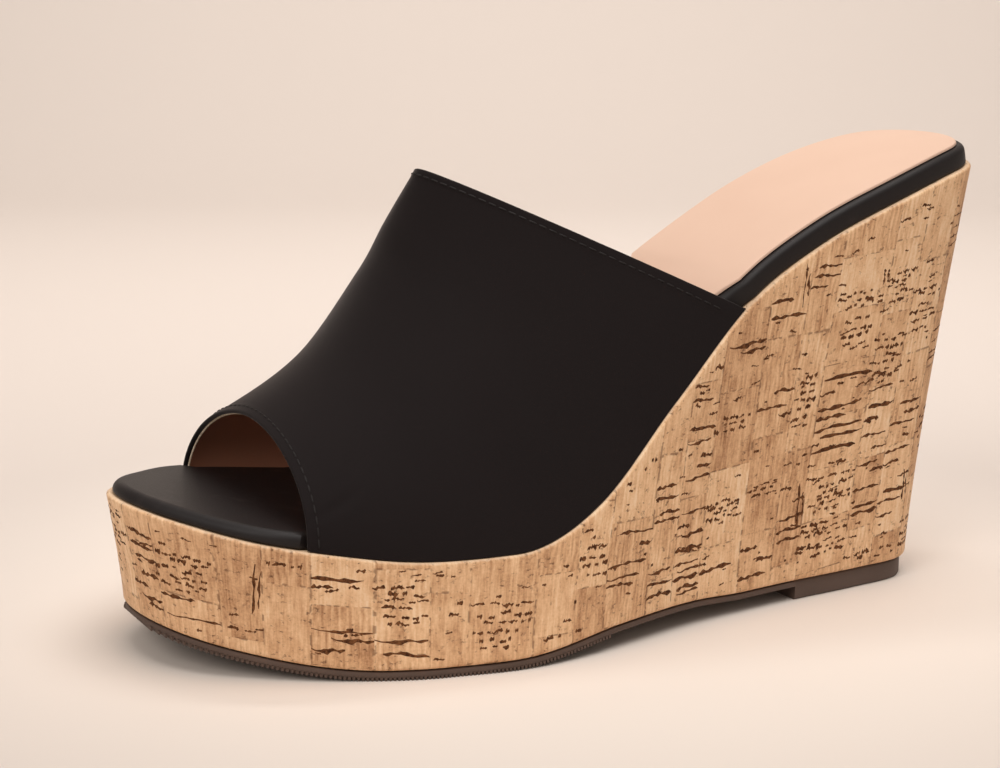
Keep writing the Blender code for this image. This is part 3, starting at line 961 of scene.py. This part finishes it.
def pore_tree():
    tree, given = start_tree("pores_on_wall", Kinds="Collection", Wall="Object", Finish="Material")
    holder = given["Holder"]
    names = {"Collection": given["Kinds"], "Separate Children": True, "Reset Children": True}
    kinds = holder.node("GeometryNodeCollectionInfo", inputs=names)
    turned = holder.vector(0.0, 0.0, attribute(holder, "turned"))
    rotation = holder.node("FunctionNodeEulerToRotation", inputs={"Euler": turned})
    values = {
        "Points": holder, "Instance": kinds, "Pick Instance": True, "Rotation": rotation,
        "Instance Index": attribute(holder, "kind", "INT"),
        "Scale": attribute(holder, "size", "FLOAT_VECTOR"),
    }
    slivers = holder.node("GeometryNodeInstanceOnPoints", inputs=values)
    real = holder.node("GeometryNodeRealizeInstances", inputs={"Geometry": slivers})
    wall = holder.node("GeometryNodeObjectInfo", inputs={"Object": given["Wall"]}, output="Geometry")
    chart = holder.node("GeometryNodeInputPosition")
    proud = chart.parts()[2]
    wall_map = attribute(holder, "wall_map", "FLOAT_VECTOR")
    looked = []
    for source in ("GeometryNodeInputPosition", "GeometryNodeInputNormal"):
        names = {"Mesh": wall, "Value": holder.node(source), "UV Map": wall_map, "Sample UV": chart}
        looked.append(holder.node("GeometryNodeSampleUVSurface", {"data_type": "FLOAT_VECTOR"}, names))
    place, normal = looked
    lifted = normal.node("ShaderNodeVectorMath", {"operation": "SCALE"}, {0: normal, "Scale": proud})
    bent = vector_math("ADD", place, lifted)
    on_wall = real.node("GeometryNodeSetPosition", inputs={"Geometry": real, "Position": bent})
    end_tree(on_wall, given["Finish"])
    return tree


def bark():
    """The dark crumb in the pores, from near black to a red brown."""
    material, shader, place = start_material("bark", 0.9, Specular_IOR_Level=0.2)
    crumb = place.noise(place, 1100, 3.0, 0.7)
    connect(shader, "Base Color", place.blend(BARK_DARK, BARK_LIGHT, crumb.ramp(0.3, 0.75)))
    add_bump(shader, crumb, 0.10 * MM)
    return material


pore_size = np.stack([pores[:, 2], pores[:, 3], np.ones(len(pores))], -1)
pore_points = np.stack([pores[:, 0], pores[:, 1], np.zeros(len(pores))], -1)
pore_holder = make_holder(pore_points, size=pore_size, turned=pores[:, 4], kind=pores[:, 5])
seeds = pore_seeds()
pore_crumb = bark()
cork_pores = grow(
    "cork_pores", pore_tree(), pore_holder, Kinds=seeds, Wall=cork_cover, Finish=pore_crumb,
)
finish_piece(cork_pores, "cork")

# %% [markdown]
# ## Footbed and sock
# The footbed is a board under a thin soft layer, wrapped in black coated cloth with a rounded top edge. It
# is thinner and rounder at the open toe. A nude sock lining is glued on it, from the heel to under the vamp.
# Both follow the curve of the cork's top, lifted square off it, and the footbed's side draws in a little
# where the vamp's wall passes it.

# %% Ribs of the vamp
OPENING_RISE = 28.5 * MM
INSTEP_RISE = 84.1 * MM
UPPER_WALL = 1.6 * MM
VAMP_RIBS = {
    "rib": (0.00, 0.25, 0.50, 0.75, 1.00),
    "lateral_foot": (0.859, 0.733, 0.607, 0.482, 0.356),
    "medial_foot": (0.870, 0.741, 0.611, 0.482, 0.352),
    "ridge": (0.854, 0.766, 0.704, 0.684, 0.659),
    "rise": (0.000, 0.232, 0.577, 0.770, 1.000),
    "shift": (-0.071, -0.099, -0.124, -0.113, -0.070),
    "lateral_fullness": (1.88, 1.95, 1.95, 1.95, 1.90),
    "medial_fullness": (1.89, 1.94, 1.96, 1.95, 1.91),
}
FOOT_RUN = (VAMP_RIBS["lateral_foot"][0] - VAMP_RIBS["lateral_foot"][-1]) * SHOE_LENGTH
print("vamp's foot on the outer side runs", round(FOOT_RUN, 4), "along the shoe")

# %% Lines of the footbed
FOOTBED_THICKNESS = 5.0 * MM
FOOTBED_TOE_THICKNESS = 3.0 * MM
FOOTBED_ROUND = 1.6 * MM
FOOTBED_TOE_ROUND = 2.2 * MM
FOOTBED_FLOOR_ROUND = 0.5 * MM
CORK_LEDGE = 1.2 * MM
UPPER_CLEARANCE = 0.5 * MM
TUCK_LENGTH = 3.0 * MM
TUCK_LEAN = 0.35
SOCK_THICKNESS = 0.8 * MM
SOCK_MARGIN = 0.3 * MM
SOCK_ROUND = 0.5 * MM
SOCK_LENGTH = 137 * MM


def footbed_inset(stations, side, lift):
    """How far the footbed's edge lies inside the cork's: a ledge, and the leaning vamp beside it."""
    front, rear = VAMP_RIBS[side][0], VAMP_RIBS[side][-1]
    ramp = TUCK_LENGTH / SHOE_LENGTH
    under = smooth_step((stations - rear + ramp) / ramp) * smooth_step((front + ramp - stations) / ramp)
    tucked = CORK_TOP_ROUND + UPPER_WALL + UPPER_CLEARANCE + TUCK_LEAN * lift
    return CORK_LEDGE + (tucked - CORK_LEDGE) * under


def footbed_edge(stations, inset, lift):
    """A line drawn in from the footbed's side and lifted square off the cork's top."""
    lateral_inset = footbed_inset(stations, "lateral_foot", lift) + inset
    medial_inset = footbed_inset(stations, "medial_foot", lift) + inset
    lateral, medial, along = outline(TOP_OUTLINE, stations, 0, SHOE_LENGTH, lateral_inset, medial_inset)
    slope = np.gradient(top_height(along), along)
    steep = np.hypot(1, slope)
    return edge(lateral, medial, along - lift * slope / steep, top_height(along) + lift / steep)


def towards_toe(stations, at_heel, at_toe):
    """A size that changes from the opening of the vamp to the tip of the toe."""
    ridge = VAMP_RIBS["ridge"][-1]
    return at_heel + (at_toe - at_heel) * smooth_step((stations - ridge) / (1 - ridge))


def footbed_round(stations):
    return towards_toe(stations, FOOTBED_ROUND, FOOTBED_TOE_ROUND)


# %% Black coated cloth and linings
WRAP_TONES = ((0.008, 0.0055, 0.0055, 1), (0.024, 0.017, 0.016, 1))
NUDE_TONES = ((0.69, 0.465, 0.350, 1), (0.76, 0.530, 0.405, 1))
# The vamp's lining tones are a dark brown: painted shade for the inside of the vamp.
LINING_SHADE_TONES = ((0.36, 0.150, 0.088, 1), (0.46, 0.205, 0.125, 1))


def coated_cloth():
    """The footbed's wrap: black, a little shiny, with a fine pebble and a few paler rubs."""
    material, shader, place = start_material("coated_cloth", 0.5, Specular_IOR_Level=0.3)
    pebble = place.noise(place, 2600, 2.0, 0.5)
    wear = place.noise(place, 90, 3.0, 0.6).ramp(0.55, 0.8)
    colour = place.blend(*WRAP_TONES, wear * 0.5 + pebble * 0.3)
    connect(shader, "Base Color", colour)
    connect(shader, "Roughness", 0.44 + pebble * 0.16 - wear * 0.06)
    add_bump(shader, pebble, 0.03 * MM, 0.7)
    return material


def lining(name, tones):
    """Smooth thin lining, with the faint grain and the slow tone of a pressed sheet."""
    material, shader, place = start_material(name, 0.55, Specular_IOR_Level=0.3)
    grain = place.noise(place, 3200, 2.0, 0.6)
    tone = place.noise(place, 45, 2.0, 0.5)
    colour = place.blend(*tones, tone * 0.7 + grain * 0.3)
    connect(shader, "Base Color", colour)
    connect(shader, "Roughness", 0.50 + grain * 0.14)
    add_bump(shader, grain, 0.02 * MM, 0.5)
    return material


black_wrap = coated_cloth()
nude = lining("nude_lining", NUDE_TONES)
# A copy of the lining finish in painted shade, for the inside of the vamp.
brown = lining("lining_in_painted_shade", LINING_SHADE_TONES)
print("finishes", black_wrap.name, nude.name, brown.name)

# %% Footbed and sock pieces
BOARD_STATIONS = 150
FLOOR_ROUND_ROWS = 3
BOARD_ROUND_ROWS = 9
SOCK_ROUND_ROWS = 4


def footbed_layers():
    stations = spread(0, 1, BOARD_STATIONS)
    thickness = towards_toe(stations, FOOTBED_THICKNESS, FOOTBED_TOE_THICKNESS)
    radius = footbed_round(stations)
    layers = []
    for inset, up in quarter_round(FOOTBED_FLOOR_ROUND, FLOOR_ROUND_ROWS, False):
        layers.append(footbed_edge(stations, inset, GAP + up))
    for inset, up in quarter_round(1, BOARD_ROUND_ROWS, True):
        layers.append(footbed_edge(stations, inset * radius, GAP + thickness + up * radius))
    return layers


def sock_layers():
    end = SOCK_LENGTH / SHOE_LENGTH
    stations = spread(0, 1, BOARD_STATIONS)
    stations = np.append(stations[stations < end], end)
    inset = footbed_round(stations) + SOCK_MARGIN
    base = 2 * GAP + towards_toe(stations, FOOTBED_THICKNESS, FOOTBED_TOE_THICKNESS)
    layers = [footbed_edge(stations, inset, base)]
    for bend, up in quarter_round(SOCK_ROUND, SOCK_ROUND_ROWS, True):
        layers.append(footbed_edge(stations, inset + bend, base + SOCK_THICKNESS + up))
    return layers


footbed_cover = make_loft("footbed_cover", footbed_layers(), black_wrap)
finish_piece(footbed_cover, "footbed_cover", "footbed")
sock_cover = make_loft("sock_cover", sock_layers(), nude)
finish_piece(sock_cover, "sock_lining", "insole_sock")

# %% [markdown]
# ## The vamp
# One broad piece of black textile crosses the foot, open at the toe and behind the instep. It is cut flat,
# folded over at both edges, stitched there to a thinner lining, and pulled over the last. The lining is
# coloured a dark brown, which paints the shade inside the vamp into it. Here it is a skin over five ribs,
# each half an ellipse made a little leaner, from its outer foot over a ridge to its inner foot. The fold
# makes the first millimetres of each edge thicker, and the pull leaves faint puckers.

# %% The vamp's outer face
FOLD_WIDTH = 2.4 * MM
FOLD_STEP = 1.2 * MM
FOLD_RISE = 0.09 * MM
FOLD_ZONE = 4 * MM
FOLD_ROWS = 16
FOOT_BLEND = 0.02
VAMP_ACROSS = 150
VAMP_ALONG = 96
VAMP_CREASES = {
    "along": (0.07, 0.16, 0.12, 0.93, 0.90),
    "turn": (0.13, 0.24, 0.80, 0.16, 0.83),
    "lean": (0.5, 0.9, -0.6, 0.3, -0.4),
    "length": (0.060, 0.080, 0.060, 0.060, 0.060),
    "width": (0.018, 0.030, 0.022, 0.020, 0.020),
    "depth": (0.00030, 0.00035, 0.00025, 0.00015, 0.00015),
}


def foot_line(side, stations):
    """Where the vamp meets the cork's top edge, at stations of one side."""
    fine = spread(0, 1, FINE_COUNT)
    row = top_edge(fine, CORK_TOP_ROUND)[side]
    line = np.stack([np.interp(turn(stations), turn(fine), row[:, k]) for k in range(3)], -1)
    return line + (0, 0, GAP)


def rib_grid(shares, turns):
    """Points of the vamp's outer face: one row for each share, from outer foot to inner foot."""
    row = {name: column(VAMP_RIBS, "rib", name, shares) for name in VAMP_RIBS}
    lateral = foot_line(0, row["lateral_foot"])
    medial = foot_line(1, row["medial_foot"])
    rise = PLATFORM_HEIGHT + OPENING_RISE + row["rise"] * (INSTEP_RISE - OPENING_RISE)
    ridge = np.stack([row["shift"] * BALL_WIDTH + SIDE_SHIFT, SHOE_LENGTH * (0.5 - row["ridge"]), rise], -1)
    angle = np.pi * turns[None, :]
    outer_half = angle < math.pi / 2
    power = 2 / np.where(outer_half, row["lateral_fullness"][:, None], row["medial_fullness"][:, None])
    over = np.sign(np.cos(angle)) * np.abs(np.cos(angle)) ** power
    up = np.sin(angle).clip(0) ** power
    middle = (lateral + medial) / 2
    across = over[:, :, None] * ((lateral - medial) / 2)[:, None]
    return middle[:, None] + across + up[:, :, None] * (ridge - middle)[:, None]


def face_normals(grid):
    """Unit normals of a grid of points, out of the vamp. The feet lean with the wall and don't drop."""
    normal = np.cross(np.gradient(grid, axis=0), np.gradient(grid, axis=1))
    for foot in (0, -1):
        normal[:, foot, 2] = 0
    return normal / np.linalg.norm(normal, axis=-1, keepdims=True)


def edge_distance(shares):
    """Distance of each share from the nearer edge of the vamp, on its foot line."""
    return np.minimum(shares, 1 - shares) * FOOT_RUN


def vamp_relief(shares, turns):
    """Height of folds and creases over the plain outer face."""
    edge_run = edge_distance(shares)[:, None]
    fold = FOLD_RISE * (1 - smooth_step((edge_run - FOLD_WIDTH) / FOLD_STEP))
    relief = np.repeat(fold, len(turns), axis=1)
    for along, at, lean, length, width, depth in zip(*VAMP_CREASES.values()):
        du = shares[:, None] - along
        dv = turns[None, :] - at
        beside = (dv * math.cos(lean) - du * math.sin(lean)) / width
        onward = (du * math.cos(lean) + dv * math.sin(lean)) / length
        relief = relief - depth * (1 - beside**2) * np.exp(-(beside**2) - onward**2)
    feet = smooth_step(turns / FOOT_BLEND) * smooth_step((1 - turns) / FOOT_BLEND)
    return relief * feet[None, :]


def vamp_shares():
    """Shares along the foot, closer together at the folded edges."""
    fold = FOLD_ZONE / FOOT_RUN
    near = np.linspace(0, fold, FOLD_ROWS)
    return np.concatenate([near, np.linspace(fold, 1 - fold, VAMP_ALONG)[1:-1], 1 - near[::-1]])


shares = vamp_shares()
turns = np.linspace(0, 1, VAMP_ACROSS)
last_face = rib_grid(shares, turns)
last_normal = face_normals(last_face)
vamp_face = last_face + vamp_relief(shares, turns)[:, :, None] * last_normal
print("vamp from", vamp_face.min((0, 1)).round(4), "to", vamp_face.max((0, 1)).round(4))

# %% A sheet with rounded edges


def make_sheet(name, outer, inner, rounds, materials, lip=0):
    """A closed sheet between two grids. Its front and rear edges are half rounds, its feet are flat."""
    rows, across = outer.shape[:2]

    def half_round(end, beyond):
        centre = (outer[end] + inner[end]) / 2
        half = (outer[end] - inner[end]) / 2
        away = centre - (outer[beyond] + inner[beyond]) / 2
        away -= half * (away * half).sum(-1, keepdims=True) / (half * half).sum(-1, keepdims=True)
        away *= np.linalg.norm(half, axis=-1, keepdims=True) / np.linalg.norm(away, axis=-1, keepdims=True)
        bends = [math.pi * k / rounds for k in range(1, rounds)]
        return np.array([centre + half * math.cos(b) + away * math.sin(b) for b in bends])

    loop = np.concatenate([outer, half_round(-1, -2), inner[::-1], half_round(0, 1)[::-1]])
    onward = run_of(outer[:, across // 2])
    spare = np.full(rounds - 1, onward[-1])
    along = np.concatenate([onward, spare, onward[::-1], spare * 0])
    around = run_of(outer[rows // 2])
    inner_row = rows + rounds - 1 + rows - 1 - np.arange(rows)
    faces, uv, slots = [], [], []
    for low in range(len(loop)):
        high = (low + 1) % len(loop)
        edge_face = rows - 1 <= low < rows + rounds - 1 or low >= 2 * rows + rounds - 2
        for k in range(across - 1):
            corners = ((low, k), (low, k + 1), (high, k + 1), (high, k))
            faces.append([row * across + at for row, at in corners])
            uv += [(along[row], around[at]) for row, at in corners]
            slots.append(lip if edge_face else 0)
    for foot in (0, across - 1):
        for k in range(rows - 1):
            corners = (k, k + 1, inner_row[k + 1], inner_row[k])
            faces.append([row * across + foot for row in corners])
            uv += [(along[row], around[foot]) for row in corners]
            slots.append(0)
        for arc in (range(rows - 1, rows + rounds), [*range(2 * rows + rounds - 2, len(loop)), 0]):
            faces.append([row * across + foot for row in arc])
            uv += [(along[row], around[foot]) for row in arc]
            slots.append(0)
    return make_piece(name, loop.reshape(-1, 3), faces, materials, uv, slots)


# %% Black textile
THREAD_PITCH = 0.42 * MM
TEXTILE_TONES = ((0.0060, 0.0040, 0.0042, 1), (0.0150, 0.0105, 0.0105, 1))
CREAM_TONES = ((0.55, 0.40, 0.27, 1), (0.90, 0.76, 0.58, 1))


def black_textile():
    """Matt black textile with a short nap: a fine weave, a soft sheen and a slow change of tone."""
    material, shader, place = start_material(
        "black_textile", 0.88, Specular_IOR_Level=0.15, Sheen_Weight=0.22, Sheen_Roughness=0.32,
        Sheen_Tint=(1.0, 0.90, 0.86, 1),
    )
    along, around, _ = place.node("ShaderNodeUVMap", {"uv_map": "wall_map"}).parts()
    warp, weft = ((run * (2 * math.pi / THREAD_PITCH)).sine() for run in (along, around))
    nap = place.noise(place, 4200, 3.0, 0.7)
    tone = place.noise(place, 30, 2.0, 0.5)
    weave = warp * weft * 0.5 + 0.5
    colour = place.blend(*TEXTILE_TONES, tone * 0.3 + nap * 0.5 + weave * 0.2)
    connect(shader, "Base Color", colour)
    connect(shader, "Roughness", 0.82 + nap * 0.12)
    add_bump(shader, weave * 0.4 + nap * 0.6, 0.05 * MM, 0.6)
    return material


def cream_edge():
    """The lining's cut edge: pale fibres."""
    material, shader, place = start_material("cream_edge", 0.8)
    fibre = place.noise(place, 1800, 2.0, 0.6)
    connect(shader, "Base Color", place.blend(*CREAM_TONES, fibre.ramp(0.3, 0.7)))
    add_bump(shader, fibre, 0.05 * MM, 0.6)
    return material


textile = black_textile()
cream = cream_edge()
print("finishes", textile.name, cream.name)

# %% Vamp and lining pieces
SHELL_THICKNESS = 1.0 * MM
LINING_GAP = 0.03 * MM
LINING_THICKNESS = 0.55 * MM
LINING_RECESS = 0.5 * MM
VAMP_EDGE_ROWS = 8
LINING_EDGE_ROWS = 4


def settle_feet(grid):
    """Sets the feet of an inner grid on the line that the outer face's feet stand on."""
    for foot in (0, -1):
        grid[:, foot, 2] = top_height(SHOE_LENGTH / 2 - grid[:, foot, 1]) + GAP
    return grid


vamp_inner = settle_feet(last_face - SHELL_THICKNESS * last_normal)
vamp = make_sheet("vamp", vamp_face, vamp_inner, VAMP_EDGE_ROWS, [textile])
finish_piece(vamp, "upper_textile", "upper")

recess = LINING_RECESS / FOOT_RUN
lining_last = rib_grid(recess + shares * (1 - 2 * recess), turns)
lining_normal = face_normals(lining_last)
lining_outer = settle_feet(lining_last - (SHELL_THICKNESS + LINING_GAP) * lining_normal)
lining_depth = SHELL_THICKNESS + LINING_GAP + LINING_THICKNESS
lining_inner = settle_feet(lining_last - lining_depth * lining_normal)
# The vamp's lining takes the dark brown finish, painted shade inside the vamp, and a pale cut edge.
vamp_lining = make_sheet(
    "vamp_lining", lining_outer, lining_inner, LINING_EDGE_ROWS, [brown, cream], lip=1,
)
finish_piece(vamp_lining, "sock_lining", "upper")

# %% [markdown]
# ## Stitches
# A line of black stitches holds each folded edge down on the lining, two millimetres in from the edge. It
# goes over the outer face from foot to foot. The tree turns the line into a curve, marks it off in steps,
# and sets one stitch on each mark, lying along the curve and pressed into the cloth.

# %% Stitch tree
STITCH_INSET = 2.0 * MM
STITCH_PITCH = 2.6 * MM
STITCH_LENGTH = 2.0 * MM
STITCH_RADIUS = 0.22 * MM
STITCH_ENDS = (0.03, 0.97)
STITCH_SIDES = 8
STITCH_PROFILE = ((-0.5, 0.35), (-0.36, 0.9), (0, 1), (0.36, 0.9), (0.5, 0.35))
LINE_POINTS = 240
NEAR_SHARE = 0.01
THREAD_TONES = ((0.005, 0.004, 0.004, 1), (0.022, 0.017, 0.016, 1))


def stitch_seed():
    """One stitch along X: a short round thread, drawn in at both ends."""
    angle = np.linspace(0, 2 * math.pi, STITCH_SIDES, endpoint=False)
    vertices = []
    for x, share in STITCH_PROFILE:
        radius = share * STITCH_RADIUS
        vertices += [(x * STITCH_LENGTH, radius * math.cos(a), radius * math.sin(a)) for a in angle]
    faces = [tuple(range(STITCH_SIDES))[::-1], tuple(range(4 * STITCH_SIDES, 5 * STITCH_SIDES))]
    for ring in range(4):
        for k in range(STITCH_SIDES):
            a, b = ring * STITCH_SIDES + k, ring * STITCH_SIDES + (k + 1) % STITCH_SIDES
            faces.append((a, b, b + STITCH_SIDES, a + STITCH_SIDES))
    return make_seed("stitch", vertices, faces)


def stitch_tree():
    tree, given = start_tree("stitches_on_line", Stitch="Object", Pitch="Float", Finish="Material")
    holder = given["Holder"]
    line = holder.node("GeometryNodeMeshToCurve", inputs={"Mesh": holder})
    names = {"Curve": line, "Length": given["Pitch"]}
    marks = holder.node("GeometryNodeResampleCurve", {"mode": "LENGTH"}, names)
    tangent, out = holder.node("GeometryNodeInputTangent"), attribute(holder, "out", "FLOAT_VECTOR")
    axes = {"Primary Axis": tangent, "Secondary Axis": out}
    lying = holder.node("FunctionNodeAxesToRotation", {"primary_axis": "X", "secondary_axis": "Z"}, axes)
    stitch = holder.node("GeometryNodeObjectInfo", inputs={"Object": given["Stitch"]}, output="Geometry")
    values = {"Points": marks, "Instance": stitch, "Rotation": lying}
    end_tree(holder.node("GeometryNodeInstanceOnPoints", inputs=values), given["Finish"])
    return tree


def thread():
    """Waxed black thread, a little shinier than the cloth."""
    material, shader, place = start_material("black_thread", 0.6, Specular_IOR_Level=0.25)
    twist = place.noise(place, 2400, 2.0, 0.5)
    connect(shader, "Base Color", place.blend(*THREAD_TONES, twist))
    add_bump(shader, twist, 0.03 * MM, 0.7)
    return material


# %% Stitch lines
def stitch_holder():
    """Both stitch lines as points on the vamp's face, with the face's normals."""
    shift = STITCH_INSET / FOOT_RUN
    line_turns = np.linspace(*STITCH_ENDS, LINE_POINTS)
    points, outs, edges = [], [], []
    for share in (shift, 1 - shift):
        near = np.array([share - NEAR_SHARE, share, share + NEAR_SHARE])
        grid = rib_grid(near, line_turns)
        out = face_normals(grid)[1]
        relief = vamp_relief(near, line_turns)[1]
        first = len(points) * len(line_turns)
        edges += [(first + k, first + k + 1) for k in range(len(line_turns) - 1)]
        points.append(grid[1] + relief[:, None] * out)
        outs.append(out)
    return make_holder(np.concatenate(points), edges, out=np.concatenate(outs))


stitches = grow(
    "stitches", stitch_tree(), stitch_holder(), Stitch=stitch_seed(), Pitch=STITCH_PITCH, Finish=thread(),
)
finish_piece(stitches, "upper_textile")

# %% [markdown]
# ## Outsole and lift
# Under the cork lies a thin sheet of brown rubber, and under the heel a thicker block with a worn, softened
# edge. The forefoot of the sheet has a fine tread of bars across it, whose ends show as small teeth along
# the edge. The sheet and the block are lofts over the bottom outline. The bars come from Geometry Nodes.

# %% Brown rubber
SOLE_TONES = ((0.060, 0.036, 0.026, 1), (0.130, 0.082, 0.062, 1))
LIFT_TONES = ((0.070, 0.042, 0.032, 1), (0.115, 0.074, 0.056, 1))


def rubber(name, tones, roughness):
    """Moulded rubber, dusty in its slow patches and rubbed paler at random."""
    material, shader, place = start_material(name, roughness)
    dust = place.noise(place, 140, 3.0, 0.6)
    grain = place.noise(place, 2200, 2.0, 0.5)
    connect(shader, "Base Color", place.blend(*tones, dust * 0.7 + grain * 0.3))
    connect(shader, "Roughness", roughness - 0.08 + grain * 0.2)
    add_bump(shader, grain, 0.05 * MM, 0.6)
    return material


outsole_rubber = rubber("sole_rubber", SOLE_TONES, 0.7)
lift_rubber = rubber("heel_rubber", LIFT_TONES, 0.6)
print("finishes", outsole_rubber.name, lift_rubber.name)

# %% Sheet and block
OUTSOLE_INSET = 0.5 * MM
LIFT_INSET = 1.4 * MM
LIFT_ROUND = 0.7 * MM
TREAD_DEPTH = 0.6 * MM
SHEET_ROUND = 0.3 * MM
SLAB_ROUND_ROWS = 3
SOLE_RUN = SHOE_LENGTH - TOE_UNDERCUT - HEEL_UNDERCUT
SHEET_START = (LIFT_LENGTH + LIFT_JOINT) / SOLE_RUN


def slab_layers(stations, inset, low, high, radius):
    """Layers of a flat slab with rounded edges, from its underside to its top."""
    low = low + 0 * stations
    layers = []
    for height, rising in ((low, False), (high, True)):
        for out, up in quarter_round(radius, SLAB_ROUND_ROWS, rising):
            layers.append(bottom_edge(stations, inset + out, height + up))
    return layers


sheet_stations = spread(SHEET_START, 1, FINE_STATIONS)
sheet_top = bottom_height(sheet_stations) - GAP
sheet_low = sheet_top - OUTSOLE_THICKNESS + TREAD_DEPTH
sheet_layers = slab_layers(sheet_stations, OUTSOLE_INSET, sheet_low, sheet_top, SHEET_ROUND)
outsole_sheet = make_loft("outsole_sheet", sheet_layers, outsole_rubber)
finish_piece(outsole_sheet, "outsole_rubber", "outsole")

lift_stations = spread(0, LIFT_LENGTH / SOLE_RUN, FINE_STATIONS // 2)
lift_top = bottom_height(lift_stations) - GAP
lift_layers = slab_layers(lift_stations, LIFT_INSET, 0, lift_top, LIFT_ROUND)
lift_block = make_loft("lift_block", lift_layers, lift_rubber)
finish_piece(lift_block, "lift_rubber", "heel_lift")

# %% Tread bars
BAR_PITCH = 0.95 * MM
BAR_WIDTH = 0.62 * MM
BAR_INSET = 0.35 * MM
TREAD_START = 0.52
TREAD_END = 0.995


def bar_seed():
    """A bar one metre long across the sole, with a worn top. It hangs from Z = 0."""
    profile = ((-0.5, 0.4), (-0.42, -0.6), (-0.25, -1.0), (0.25, -1.0), (0.42, -0.6), (0.5, 0.4))
    vertices = [(x, y * BAR_WIDTH, z * TREAD_DEPTH) for x in (-0.5, 0.5) for y, z in profile]
    count = len(profile)
    faces = [tuple(range(count)), tuple(range(2 * count - 1, count - 1, -1))]
    faces += [(k, (k + 1) % count, (k + 1) % count + count, k + count) for k in range(count)]
    return make_seed("tread_bar", vertices, faces)


def bar_tree():
    tree, given = start_tree("bars_on_points", Bar="Object", Finish="Material")
    holder = given["Holder"]
    bar = holder.node("GeometryNodeObjectInfo", inputs={"Object": given["Bar"]}, output="Geometry")
    leaning = holder.vector(attribute(holder, "slope"), 0.0)
    rotation = holder.node("FunctionNodeEulerToRotation", inputs={"Euler": leaning})
    size = holder.vector(attribute(holder, "width"), 1.0, 1.0)
    values = {"Points": holder, "Instance": bar, "Rotation": rotation, "Scale": size}
    end_tree(holder.node("GeometryNodeInstanceOnPoints", inputs=values), given["Finish"])
    return tree


bar_stations = np.arange(TREAD_START, TREAD_END, BAR_PITCH / SOLE_RUN)
bar_height = bottom_height(bar_stations) - GAP - OUTSOLE_THICKNESS + TREAD_DEPTH
bar_lateral, bar_medial = bottom_edge(bar_stations, BAR_INSET, bar_height)
bar_middle = (bar_lateral + bar_medial) / 2
bar_slope = -np.arctan(np.gradient(bar_middle[:, 2], -bar_middle[:, 1]))
bar_holder = make_holder(bar_middle, width=bar_lateral[:, 0] - bar_medial[:, 0], slope=bar_slope)
tread_bars = grow("tread_bars", bar_tree(), bar_holder, Bar=bar_seed(), Finish=outsole_rubber)
finish_piece(tread_bars, "outsole_rubber", "outsole")

# %% [markdown]
# ## The paper floor
# The backdrop is a sheet of warm paper. Its colour is painted a little darker away from the shoe: a painted
# pool of light round the shoe, and painted shade beyond it, which keeps the eye on the shoe. The distance
# from the origin gives that painted shade.

# %% Floor finish
PAINTED_POOL_START = 0.08
PAINTED_POOL_END = 0.21


def floor_with_painted_pool():
    """Warm paper, painted darker away from the shoe: a painted pool of light round it, painted shade beyond.
    """
    material, shader, place = start_material("floor_paper_painted_pool", 0.75)
    # Painted shade: the paper darkens with its distance from the origin, round a painted pool of light.
    away = place.node("ShaderNodeVectorMath", {"operation": "LENGTH"}, {0: place}, "Value")
    connect(shader, "Base Color", place.blend(*FLOOR_POOL_AND_SHADE_TONES, away.ramp(PAINTED_POOL_START, PAINTED_POOL_END)))
    return material


backdrop.data.materials.append(floor_with_painted_pool())
print("backdrop", backdrop.data.materials[0].name)

# %% [markdown]
# ## Size of the finished look
# The look may stand a little proud of the solids, where a stitch or a pore rises from a face.
